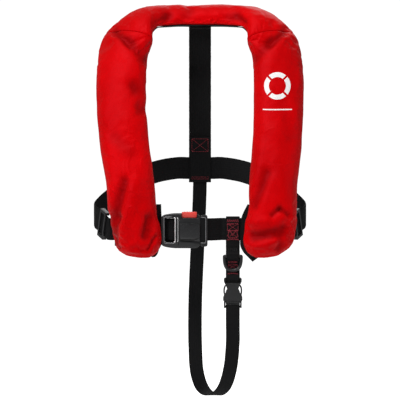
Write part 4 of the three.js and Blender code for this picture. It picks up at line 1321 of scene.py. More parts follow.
@dataclass
class Finishes:
    """Every finish that the jacket is dressed in."""

    cover: Material = field(default_factory=CoatedFabric(
        "red_cover_fabric", (0.66, 0.0, 0.001), (0.44, 0.0, 0.0006), 0.5, 0.06, 0.5, 1.8, 0.32, (1.0, 0.06, 0.1),
        RingPrint()
    ).make)
    lining: Material = field(default_factory=CoatedFabric(
        "black_lining_fabric", (0.009, 0.009, 0.010), (0.005, 0.005, 0.006), 0.7, 0.03, 0.3, 0.6, 0.15
    ).make)
    belt: Material = field(default_factory=RibbedWebbing("belt_webbing", width=40.0).make)
    narrow: Material = field(default_factory=RibbedWebbing("crotch_webbing", width=25.0).make)
    binding: Material = field(default_factory=RibbedWebbing("edge_binding", width=22.0).make)
    plastic: Material = field(default_factory=MouldedPlastic(
        "black_moulding", (0.006, 0.0062, 0.007), (0.03, 0.031, 0.033), 0.34
    ).make)
    plate: Material = field(default_factory=MouldedPlastic(
        "glossy_plate", (0.0065, 0.0067, 0.0075), (0.035, 0.035, 0.038), 0.26, 0.4, 0.15
    ).make)
    # Pale grey plastic for the slots' rims, standing in for the edge highlights on the black plastic: painted
    # highlight.
    highlight_lip: Material = field(default_factory=MouldedPlastic(
        "lip_painted_highlight", (0.10, 0.102, 0.108), (0.2, 0.2, 0.21), 0.25, 0.5, 0.3
    ).make)
    # Near-black plastic for rods and sheets put where shade falls between parts: painted shadow.
    shadow: Material = field(default_factory=MouldedPlastic(
        "painted_shadow_gap", (0.0012, 0.0012, 0.0013), (0.003, 0.003, 0.003), 0.8, 0.1
    ).make)
    red_plastic: Material = field(default_factory=MouldedPlastic(
        "coral_button", (0.72, 0.045, 0.035), (0.8, 0.12, 0.09), 0.35, 0.4
    ).make)
    steel: Material = field(default_factory=DrawnSteel("polished_steel", (0.92, 0.92, 0.93), 0.4, 0.6).make)
    thread: Material = field(default_factory=SewingThread("dark_red_thread", (0.3, 0.018, 0.035)).make)
    dark_thread: Material = field(default_factory=SewingThread("black_thread", (0.018, 0.018, 0.02)).make)
    bladder: Material = field(default_factory=CoatedFabric(
        "bladder_fabric", (0.75, 0.62, 0.04), (0.6, 0.5, 0.03), 0.45, 0.0, 0.5, 1.0
    ).make)
    inflator: Material = field(default_factory=MouldedPlastic(
        "inflator_moulding", (0.03, 0.03, 0.033), (0.07, 0.07, 0.07)
    ).make)
    gas: Material = field(default_factory=DrawnSteel("plated_cylinder", (0.62, 0.64, 0.62), 0.32).make)
    cap: Material = field(default_factory=MouldedPlastic("yellow_cap", (0.8, 0.5, 0.02), (0.85, 0.62, 0.1)).make)
    rubber: Material = field(default_factory=MouldedPlastic(
        "tube_rubber", (0.018, 0.018, 0.018), (0.04, 0.04, 0.04), 0.6, 0.2
    ).make)
    whistle: Material = field(default_factory=MouldedPlastic(
        "orange_whistle", (0.85, 0.22, 0.01), (0.9, 0.35, 0.06)
    ).make)


def place(piece: Piece, body: str, slot: str, *nodes: str) -> Piece:
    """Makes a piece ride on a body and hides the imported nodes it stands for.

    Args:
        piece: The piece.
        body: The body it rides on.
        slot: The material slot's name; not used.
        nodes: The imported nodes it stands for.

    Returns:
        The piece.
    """
    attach(piece, body)
    if nodes:
        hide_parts(*nodes)
    LOG.info("%s rides on %s", piece.name, body)
    return piece


def moulding(
    node: str, name: str, material: Material, bevel: float, segments: int = 3
) -> Piece:
    """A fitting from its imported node: shared points merged, flat faces joined and every sharp edge rounded.

    Args:
        node: The node's name.
        name: The piece's name.
        material: Its finish.
        bevel: The edge's radius in millimetres.
        segments: How many steps the radius has.

    Returns:
        The piece.
    """
    mesh = frame["nodes"][node].data.copy()
    mesh.name = name
    shape = bmesh.new()
    shape.from_mesh(mesh)
    bmesh.ops.remove_doubles(shape, verts=shape.verts, dist=2e-6)
    bmesh.ops.dissolve_limit(shape, angle_limit=math.radians(1.0), verts=shape.verts, edges=shape.edges)
    shape.to_mesh(mesh)
    shape.free()
    mesh.materials.clear()
    mesh.materials.append(material)
    mesh.polygons.foreach_set("use_smooth", np.ones(len(mesh.polygons), bool))
    piece = bpy.data.objects.new(name, mesh)
    bpy.context.scene.collection.objects.link(piece)
    edge = piece.modifiers.new("edge_radius", "BEVEL")
    edge.width = bevel * MM
    edge.segments = segments
    edge.limit_method = "ANGLE"
    edge.angle_limit = math.radians(32)
    edge.harden_normals = True
    edge.use_clamp_overlap = True
    return piece


def softened(
    piece: Piece, voxel: float, rounds: int, sculpt: Callable[[Array], Array]
) -> Piece:
    """A moulding with run-out edges: remade on a fine grid, relaxed, and then pushed into its crowned shape.

    Args:
        piece: The piece, from moulding.
        voxel: The grid's pitch in millimetres.
        rounds: How many times it is relaxed.
        sculpt: Gives each point's new place from its old one, in millimetres.

    Returns:
        The piece.
    """
    piece.modifiers.clear()
    grid = piece.modifiers.new("grid", "REMESH")
    grid.mode = "VOXEL"
    grid.voxel_size = voxel * MM
    relax = piece.modifiers.new("relax", "SMOOTH")
    relax.factor = 0.5
    relax.iterations = rounds
    graph = bpy.context.evaluated_depsgraph_get()
    mesh = bpy.data.meshes.new_from_object(piece.evaluated_get(graph))
    piece.modifiers.clear()
    material = piece.data.materials[0]
    piece.data = mesh
    mesh.materials.clear()
    mesh.materials.append(material)
    points = np.empty(len(mesh.vertices) * 3)
    mesh.vertices.foreach_get("co", points)
    moved = sculpt(points.reshape(-1, 3) / MM) * MM
    mesh.vertices.foreach_set("co", moved.ravel())
    mesh.polygons.foreach_set("use_smooth", np.ones(len(mesh.polygons), bool))
    mesh.update()
    return piece


def as_it_is(points: Array) -> Array:
    """The same points."""
    return points


def rod(line: Array, radius: float, sides: int = 10, flat: float = 1.0) -> Array:
    """A round bar along a line, closed to a dome at both ends: circles of a radius carried along it.

    Args:
        line: Its middle line, in millimetres.
        radius: Its radius.
        sides: Points round it.
        flat: Its height as a share of its width.

    Returns:
        Rings by points by 3, in metres.
    """
    way = unit(np.gradient(line, axis=0))
    hint = np.array([0.0, 1.0, 0.0]) if abs(way[0, 1]) < 0.9 else np.array([1.0, 0.0, 0.0])
    side = unit(np.cross(way, hint))
    away = np.cross(side, way)
    count = len(line)
    along = np.arange(count)
    size = radius * np.sqrt(np.clip(1 - (1 - np.minimum(np.minimum(along, count - 1 - along) / 2, 1)) ** 2, 0.05, 1))
    turn = np.linspace(0, 2 * math.pi, sides, endpoint=False)
    ring = np.cos(turn)[None, :, None] * side[:, None] + flat * np.sin(turn)[None, :, None] * away[:, None]
    return (line[:, None] + size[:, None, None] * ring) * MM


def straight(a: Sequence[float], b: Sequence[float], count: int = 12) -> Array:
    """Evenly spaced points from one place to another."""
    return np.linspace(np.asarray(a, float), np.asarray(b, float), count)


@dataclass
class Harness:
    """The webbing: back strap and patch, belt, crotch strap, its loop and the ring's keeper. Millimetres."""

    shape: Horseshoe = field(default_factory=Horseshoe)
    gap: float = 0.35
    belt_width: float = 40.0
    belt_thick: float = 1.8
    front_y: float = -153.5
    front_z: float = -353.0
    back_y: float = 40.0
    back_z: float = -260.0
    strap_x: float = 58.5
    strap_width: float = 25.0
    strap_thick: float = 1.6
    bar_x: float = -43.7
    bar_y: float = -161.5
    bar_room: float = 3.25
    pin_x: float = 8.5
    pin_y: float = -161.8
    pin_room: float = 3.05
    free_end: float = 45.2
    under_loop: float = 2.4
    tail_from: int = 93
    tail_to: int = 109
    tail_gap: float = 0.6
    tunnel_left_x: float = -135.26
    tunnel_right_x: float = 121.26
    tunnel_width: float = 34.0
    tunnel_thick: float = 1.2
    binding_y: float = -161.2
    binding_width: float = 22.0
    binding_thick: float = 1.5
    stitch_lift: float = 0.25
    lining_gap: float = 1.0
    lining: float = 1.4
    hang_y: float = -154.5
    ring_z: float = -401.0
    clip_z: float = -440.0

    def __post_init__(self) -> None:
        """Works out where the belt turns and meets at the sides."""
        self.way = unit(np.array([0.42, 0.9, 0.3]))
        self.corner = np.array([162.6, self.front_y, self.front_z])
        self.meet = self.corner + 47 * self.way
        self.end = self.meet - self.gap * self.way
        self.ply = self.belt_thick + self.gap

    def under_collar(self, across: float) -> Array:
        """A point under the collar's lining, so far across it.

        Args:
            across: How far across, in millimetres.

        Returns:
            The point.
        """
        collar = self.shape.frame(np.array([0.0]))
        down = collar.depth[0] + self.lining_gap + self.lining + self.gap + self.belt_thick / 2
        return collar.at[0] - down * collar.out[0] + across * collar.across[0]

    def back_line(self) -> Array:
        """The belt's line round the back, from the left side to the right one.

        Returns:
            The line's points.
        """
        half = np.array([
            [92, self.back_y - 14, self.back_z - 10],
            [150, self.back_y - 58, self.back_z - 43],
            [187, self.back_y - 106, self.back_z - 71],
            self.meet + 14 * self.way,
            self.meet,
        ])
        flat = np.array([[x, self.back_y, self.back_z] for x in (-42, -22, 0, 22, 42)], float)
        points = np.vstack([half[::-1] * [-1, 1, 1], flat, half])
        return catmull(points, np.linspace(0, 1, 900))

    def back(self, finishes: Finishes) -> None:
        """The back strap, its patch, and the stitching on them and under the collar.

        Args:
            finishes: The jacket's finishes.
        """
        y = self.back_y + self.ply
        line = rounded(
            [self.under_collar(-6), self.under_collar(20), (0, y - 3, -75),
             (0, y, self.back_z + 40), (0, y, self.back_z - 26)], 5)
        strap = ribbon("back_strap_webbing", line, self.belt_width, self.belt_thick, (1, 0, 0), finishes.belt)
        place(strap, BODY, "webbing", "back_strap")
        patch_y = self.back_y - self.ply
        patch = ribbon(
            "back_patch_webbing", straight((0, patch_y, -204), (0, patch_y, -285), 60),
            self.belt_width, self.belt_thick, (1, 0, 0), finishes.belt)
        place(patch, BODY, "webbing", "back_patch")
        front = patch_y - self.belt_thick / 2 - self.stitch_lift
        rows = box_and_cross(-14.5, 14.5, -230, -207, front)
        rows += [straight((-16, front, z), (16, front, z), 4) for z in (-279.5, -276)]
        place(stitches("back_patch_stitching", rows, (0, -1, 0), finishes.thread), BODY, "webbing")
        rear = y + self.belt_thick / 2 + self.stitch_lift
        rows = box_and_cross(-15, 15, -277, -243, rear)
        place(stitches("back_strap_stitching", rows, (0, 1, 0), finishes.thread), BODY, "webbing")
        top = self.shape.frame(np.array([0.0]))
        drop = (top.depth[0] + self.lining_gap + self.lining + self.gap + self.belt_thick + 0.3) * top.out[0]
        for shift, label in ((2.0, "front"), (15.0, "rear")):
            a = top.at[0] - drop + top.across[0] * shift
            row = straight(a - [16, 0, 0], a + [16, 0, 0], 4)
            place(stitches("collar_stitching_" + label, [row], -top.out[0], finishes.dark_thread), BODY, "webbing")

    def belt(self, finishes: Finishes) -> None:
        """The belt round the back with its folded ends, and its front halves.

        Args:
            finishes: The jacket's finishes.
        """
        line = self.back_line()
        piece = ribbon("belt_back_webbing", line, self.belt_width, self.belt_thick, (0, 0, 1), finishes.belt)
        place(piece, BODY, "webbing", "belt_back")
        fine = spaced(line, 1281)
        _, _, out = ribbon_frames(fine, np.array([0.0, 0.0, 1.0]))
        low, high = (int(1280 * place_on_belt / 128) for place_on_belt in (self.tail_from, self.tail_to))
        tail = (fine - out * (self.belt_thick + self.tail_gap))[low:high + 1]
        for side, label in ((-1, "left"), (1, "right")):
            piece = ribbon(
                "belt_tail_webbing_" + label, tail * [side, 1, 1], self.belt_width - 3, self.belt_thick,
                (0, 0, 1), finishes.belt)
            place(piece, BODY, "webbing", "belt_tail_" + label)
        x, y, z = self.bar_x, self.bar_y, self.front_z
        points = [
            self.end * [-1, 1, 1], self.corner * [-1, 1, 1], (x - 56, self.front_y, z), (x - 24, y + 2.1, z),
            (x - 7, y - self.bar_room, z), (x + self.bar_room, y - self.bar_room, z),
            (x + self.bar_room, y + self.bar_room, z), (x - 7, y + self.bar_room, z),
            (x - 24, y + 2.7 + self.ply, z), (x - 56, self.front_y + self.ply + 0.3, z),
            (x - 70, self.front_y + self.ply + 0.3, z)]
        piece = ribbon(
            "belt_front_webbing_left", rounded(points, 3), self.belt_width, self.belt_thick, (0, 0, 1),
            finishes.belt, 1.0)
        place(piece, BODY, "webbing", "belt_front_left")
        points = [(self.free_end + self.under_loop + self.gap, self.front_y, z), self.corner, self.end]
        piece = ribbon(
            "belt_front_webbing_right", rounded(points, 3), self.belt_width, self.belt_thick, (0, 0, 1),
            finishes.belt)
        place(piece, BODY, "webbing", "belt_front_right")

    def free_belt(self, finishes: Finishes) -> None:
        """The stretch of belt from the strap loop round the tongue's pin and back.

        Args:
            finishes: The jacket's finishes.
        """
        x, y, z, e = self.pin_x, self.pin_y, self.front_z, self.free_end
        points = [
            (e + self.under_loop, self.front_y, z), (e - 6, self.front_y, z), (x + 4, y - self.pin_room, z),
            (x - self.pin_room, y - self.pin_room, z), (x - self.pin_room, y + self.pin_room, z),
            (x + 4, y + self.pin_room, z), (e - 6, self.front_y + self.ply + 0.5, z),
            (e - 1, self.front_y + self.ply + 0.5, z)]
        piece = ribbon(
            "belt_free_webbing", rounded(points, 2), self.belt_width, self.belt_thick, (0, 0, 1),
            finishes.belt, 0.9)
        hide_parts("belt_free")
        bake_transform(piece)

    def tunnels(self, finishes: Finishes) -> None:
        """The tunnels on the lining that hold the belt.

        Args:
            finishes: The jacket's finishes.
        """
        t = np.linspace(0.5, 1, 400)
        middle = self.shape.middle(t)
        lobe = self.shape.frame(t)
        rear = lobe.at[:, 1] + lobe.depth + self.lining_gap + self.lining

        def on_lining(z: float) -> float:
            """How far back a tunnel's tab lies at a height."""
            return float(np.interp(-z, -middle[:, 2], rear)) + self.gap + self.tunnel_thick / 2 + self.lining_gap + 0.3

        y = self.front_y + self.belt_thick / 2 + self.gap + self.tunnel_thick / 2
        edge = self.belt_width / 2 + self.gap + self.tunnel_thick + 2
        z = self.front_z
        for x, label in ((self.tunnel_left_x, "left"), (self.tunnel_right_x, "right")):
            heights = [z + edge + 11, z + edge, z + edge - 1, z - edge + 1, z - edge, z - edge - 6]
            upper, lower = map(on_lining, heights[:2]), map(on_lining, heights[4:])
            depths = [*upper, y, y, *lower]
            line = rounded([(x, d, h) for d, h in zip(depths, heights)], 1)
            piece = ribbon(
                "belt_tunnel_tape_" + label, line, self.tunnel_width, self.tunnel_thick, (1, 0, 0), finishes.lining)
            place(piece, BODY, "lining_fabric", "belt_tunnel_" + label)
            row = straight((x - 15, depths[0] + 0.85, heights[0] - 4), (x + 15, depths[0] + 0.85, heights[0] - 4), 4)
            seam = stitches("tunnel_stitching_" + label, [row], (0, 1, 0), finishes.dark_thread)
            place(seam, BODY, "lining_fabric")

    def loop(self, finishes: Finishes) -> None:
        """The strap loop round the belt, with its zigzag and cross stitching, and the ring's keeper.

        Args:
            finishes: The jacket's finishes.
        """
        x, y, clip = self.strap_x, self.hang_y, self.clip_z
        ply, room = self.strap_thick + self.gap, self.belt_thick / 2 + self.gap + self.strap_thick / 2
        top, low = self.front_z + self.belt_width / 2, self.front_z - self.belt_width / 2
        bar_z, bar_room = clip - 2, 2.2 + self.gap + self.strap_thick / 2
        front, rear = self.front_y - room, self.front_y + room
        points = [
            (x, y + ply, low - 26), (x, y + ply, low - 6), (x, rear, low + 2), (x, rear, top + room),
            (x, front, top + room), (x, front, low + 2), (x, y, low - 6), (x, y, clip + 12),
            (x, y - bar_room, bar_z + 2), (x, y - bar_room, bar_z - bar_room),
            (x, y + bar_room, bar_z - bar_room), (x, y + bar_room, bar_z + 2),
            (x, y + ply + 0.2, clip + 12), (x, y + ply + 0.2, clip + 24)]
        piece = ribbon(
            "strap_loop_webbing", rounded(points, 1.2), self.strap_width, self.strap_thick, (1, 0, 0),
            finishes.narrow, 0.9)
        place(piece, BODY, "webbing", "strap_loop")
        face = front - self.strap_thick / 2 - self.stitch_lift
        rows = [zigzag(x - 10.5, x + 10.5, -341, -335, face, 6), zigzag(x - 10.5, x + 10.5, -373.5, -369, face, 7)]
        rows += [zigzag(x - 10.5, x + 2, -346.5, -341.5, face, 4), zigzag(x - 10, x + 10, -366, -354, face, 2)]
        rows += box_and_cross(x - 9.5, x + 9.5, -356, -343, face) + box_and_cross(x - 8, x + 8, -368, -355, face)
        place(stitches("loop_stitching", rows, (0, -1, 0), finishes.thread, 3.0, 0.56), BODY, "webbing")
        sewn, ring_room = y - self.strap_thick - self.gap, 2.9
        ring_y = y - self.strap_thick / 2 - ring_room
        out_y, z = ring_y - ring_room - self.strap_thick / 2, self.ring_z
        points = [
            (x, sewn, z + 15), (x, sewn, z + ring_room + 5.5), (x, out_y, z + ring_room + 1.6),
            (x, out_y, z - ring_room - 1.6), (x, sewn, z - ring_room - 5.5), (x, sewn, z - 13.5)]
        piece = ribbon(
            "ring_keeper_webbing", rounded(points, 1.2), self.strap_width - 3, self.strap_thick, (1, 0, 0),
            finishes.narrow, 0.9)
        place(piece, BODY, "webbing", "ring_keeper")
        face = sewn - self.strap_thick / 2 - self.stitch_lift
        rows = [straight((x - 8.5, face, h), (x + 8.5, face, h), 4) for h in (z - 9.6, z - 11.8)]
        upper = [straight((x - 8.5, face, h), (x + 8.5, face, h), 4) for h in (z + 12.6, z + 10.4)]
        place(stitches("keeper_upper_stitching", upper, (0, -1, 0), finishes.dark_thread), BODY, "webbing")
        face = y - self.strap_thick / 2 - self.stitch_lift
        rows += box_and_cross(x - 8, x + 8, -424.6, -416.6, face)
        rows += [zigzag(x - 9, x + 9, -434.0, -430.6, face - 1.5, 6)]
        place(stitches("keeper_stitching", rows, (0, -1, 0), finishes.thread, 2.6, 0.52), BODY, "webbing")

    def crotch(self, finishes: Finishes) -> None:
        """The crotch strap: down from the back, under the seat, and up round the plug's lower bar.

        Args:
            finishes: The jacket's finishes.
        """
        x, room = self.strap_x, 2.4 + self.gap + self.strap_thick / 2
        plug, ladder = self.clip_z - 54, self.clip_z - 50
        b = self.back_y
        route = np.array([
            (0, b, self.back_z - 21), (-1, b, self.back_z - 60), (-4.5, b - 3, -400), (-8.6, b - 9, -500),
            (-8.6, b - 20, -580), (-5, b - 38, -628), (6, b - 66, -654), (24, b - 99, -661), (42, b - 136, -645),
            (54, self.hang_y + 22, -605), (x, self.hang_y + 4, -556), (x, self.hang_y - room, plug - 30)], float)
        bar = rounded(
            [route[-1], (x, self.hang_y - room, plug - 4), (x, self.hang_y - room, ladder + room),
             (x, self.hang_y + room, ladder + room), (x, self.hang_y + room, plug - 26)], 1.2)
        line = np.vstack([catmull(route, np.linspace(0, 1, 700)), bar[1:]])
        piece = ribbon(
            "crotch_strap_webbing", line, self.strap_width, self.strap_thick, (1, 0, 0), finishes.narrow, 1.5)
        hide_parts("crotch_strap")
        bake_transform(piece)

    def binding(self, finishes: Finishes) -> None:
        """The lining's bound edge, which shows past the cover at the lobes' inner lower edges."""
        y = self.binding_y
        for label, points, taper in (
            ("left", [(-80, y, -308), (-79, y, -345), (-77.5, y, -377), (-90, y, -400)], (0.0, 0.35)),
            ("right", [(89, y, -309), (83, y, -330), (82, y, -384), (99, y, -407)], (0.6, 0.4)),
        ):
            tape = ribbon(
                "edge_binding_" + label, rounded(points, 9), self.binding_width, self.binding_thick,
                (1, 0, 0), finishes.binding, taper=taper)
            place(tape, BODY, "lining_fabric")

    def build(self, finishes: Finishes) -> None:
        """Makes all the webbing.

        Args:
            finishes: The jacket's finishes.
        """
        self.back(finishes)
        self.belt(finishes)
        self.free_belt(finishes)
        self.tunnels(finishes)
        self.loop(finishes)
        self.crotch(finishes)
        self.binding(finishes)


@dataclass
class ChestBuckle:
    """The push-button buckle in the middle of the belt. Millimetres."""

    left: float = -69.5
    right: float = 0.5
    middle_z: float = -355.0
    half_height: float = 31.0
    front: float = -171.0
    bar_x: float = -43.7
    bar_y: float = -161.5
    button_x: float = -18.9
    spring_low: float = -337.6
    spring_high: float = -332.8
    spring_y: float = -162.1
    spring_radius: float = 1.9
    grid: float = 0.55
    rounds: int = 4

    def build(self, finishes: Finishes) -> None:
        """Makes the housing, its plates, the steel bar, the button, the latch, the spring and the tongue.

        Args:
            finishes: The jacket's finishes.
        """
        for node, name, finish, slot, body, edge in (
            ("buckle_back_plate", "back_plate_moulding", finishes.plastic, "black_plastic", BODY, 0.6),
            ("buckle_button", "push_button", finishes.red_plastic, "red_plastic", "button", 1.4),
            ("buckle_latch", "latch_plate", finishes.plastic, "black_plastic", "button", 0.4),
        ):
            place(moulding(node, name, finish, edge), body, slot, node)
        for node, name, finish, body, sculpt in (
            ("buckle_housing", "housing_moulding", finishes.plastic, BODY, self.crown),
            ("buckle_face_plate", "raised_face_plate", finishes.plate, BODY, self.crown),
            ("buckle_tongue", "tongue_moulding", finishes.plastic, "tongue", as_it_is),
        ):
            piece = softened(moulding(node, name, finish, 0), self.grid, self.rounds, sculpt)
            place(piece, body, "black_plastic", node)
        line = straight((self.bar_x, self.bar_y, -381), (self.bar_x, self.bar_y, -325), 30)
        rail = rounded(
            [(-47.2, -171.4, -331.4), (-44.2, -171.6, -331.4), (-44.2, -171.6, -374.6), (-47.2, -171.4, -374.6)], 1.2)
        bar = joined_tubes("steel_bar", [rod(line, 2.0, 20), rod(spaced(rail, 60), 1.05, 12)], finishes.steel)
        place(bar, BODY, "steel", "buckle_bar")
        self.button_ribs(finishes)
        self.spring(finishes)
        self.lines(finishes)
        self.tongue_slot(finishes)

    def crown(self, points: Array) -> Array:
        """The front's crowned shape.

        The front rises as one minus the square of each way from the middle, the left corners draw in, and
        a shallow step runs across below the raised plate.

        Args:
            points: Places in millimetres.

        Returns:
            The new places.
        """
        x, y, z = points.T
        u = (x - (self.left + self.right) / 2) / ((self.right - self.left) / 2)
        v = (z - self.middle_z) / self.half_height
        front = np.clip((-162 - y) / 8, 0, 1)
        rise = 2.2 * np.clip(1 - u**2, 0, 1) ** 0.7 * np.clip(1 - v**2, 0, 1) ** 0.7
        sag = 1.1 * np.exp(-(((z + 371 + 3.5 * u**2) / 2.2) ** 2)) * np.clip((u + 0.1) / 0.2, 0, 1)
        corner = np.clip((-u - 0.25) / 0.75, 0, 1) ** 1.5 * np.clip((np.abs(v) - 0.7) / 0.3, 0, 1)
        side = np.clip((u - 0.6) / 0.4, 0, 1) ** 2 * np.clip((np.abs(v) - 0.7) / 0.3, 0, 1)
        z = z - np.sign(v) * (4.0 * corner + 2.2 * side)
        return np.stack([x, y - (rise - sag) * front, z], axis=1)

    def button_ribs(self, finishes: Finishes) -> None:
        """Grip ribs across the button's top."""
        rows = [
            rod(straight((self.button_x + x, -166.4, -321.3), (self.button_x + x, -160.9, -321.3), 8), 0.7, 8)
            for x in np.linspace(-9, 9, 7)
        ]
        place(joined_tubes("button_grip_ribs", rows, finishes.red_plastic), "button", "red_plastic")

    def spring(self, finishes: Finishes) -> None:
        """The button's spring: a circle carried up as it goes round, three and a half turns.

        Args:
            finishes: The jacket's finishes.
        """
        turn = np.linspace(0, 7 * math.pi, 110)
        height = np.linspace(self.spring_low, self.spring_high, 110)
        across = self.button_x + self.spring_radius * np.cos(turn)
        deep = self.spring_y + self.spring_radius * np.sin(turn)
        line = np.stack([across, deep, height], axis=1)
        spring = joined_tubes("return_spring", [rod(line, 0.42, 8)], finishes.steel)
        place(spring, BODY, "steel", "button_spring")
        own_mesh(spring)

    def lines(self, finishes: Finishes) -> None:
        """Lines on the front: a pale rim round the housing's slot as painted highlight, the slot's liner and post, and
        near-black rods round the raised plate as painted shadow.

        Args:
            finishes: The jacket's finishes.
        """
        y = self.front - 0.1
        # Painted highlight: a pale rim round the housing's slot.
        slot = rounded(
            [(-50, y, -329.2), (-64.2, y, -329.2), (-64.2, y, -376.8), (-45, y, -376.8)], 3.5)
        rows = [
            rod(self.crown(spaced(slot, 80)) - [0, 0.3, 0], 0.95, 8, 0.8),
        ]
        place(joined_tubes("housing_slot_highlight_lip", rows, finishes.highlight_lip), BODY, "black_plastic")
        liner = rounded(
            [(-45, -159.2, -331.6), (-61.7, -159.2, -331.6), (-61.7, -159.2, -374.4), (-45, -159.2, -374.4)], 2)
        post = straight((-41.2, -169.8, -331), (-41.2, -169.8, -375), 24)
        rows = [rod(spaced(liner, 70), 1.35, 8), rod(post, 1.7, 10)]
        place(joined_tubes("housing_slot_liner", rows, finishes.plastic), BODY, "black_plastic")
        # Painted shadow: near-black rods along the raised plate's edges, where its shade falls.
        painted_shadow_lines = [rod(self.crown(line) - [0, lift, 0], radius, 8, 0.5) for line, radius, lift in (
            (bezier([(-39, y, -368.4), (-28, y, -372.6), (-12, y, -372.2), (0, y, -366.4)], 40), 1.25, 2.3),
            (bezier([(-36, y, -341), (-25, y, -340), (-12, y, -340.2), (-0.5, y, -341.4)], 40), 0.65, 1.9),
            (straight((-38.6, y, -328), (-38.6, y, -382), 40), 0.5, 0.35),
            (straight((-36.2, y, -341), (-36.2, y, -369), 40), 0.5, 2.0),
        )]
        place(joined_tubes("housing_painted_shadow_lines", painted_shadow_lines, finishes.shadow), BODY, "black_plastic")

    def tongue_slot(self, finishes: Finishes) -> None:
        """The tongue's slot in front of the housing's edge: the belt's turn in it, and a pale rim round it as painted
        highlight.

        Args:
            finishes: The jacket's finishes.
        """
        y = self.front + 0.1
        turn = ribbon(
            "belt_turn_webbing", straight((4.6, y, -332.5), (4.6, y, -374.5), 30), 8.4, 1.2, (1, 0, 0), finishes.belt)
        place(turn, "tongue", "webbing")
        # Painted highlight: the slot's pale rim.
        edge = rounded([(1.5, y, -330.6), (10.3, y, -330.6), (10.3, y, -376.4), (1.5, y, -376.4)], 2.5)
        highlight_lip = joined_tubes("tongue_slot_highlight_lip", [rod(spaced(edge, 70) - [0, 0.5, 0], 0.85, 8)], finishes.highlight_lip)
        place(highlight_lip, "tongue", "black_plastic")


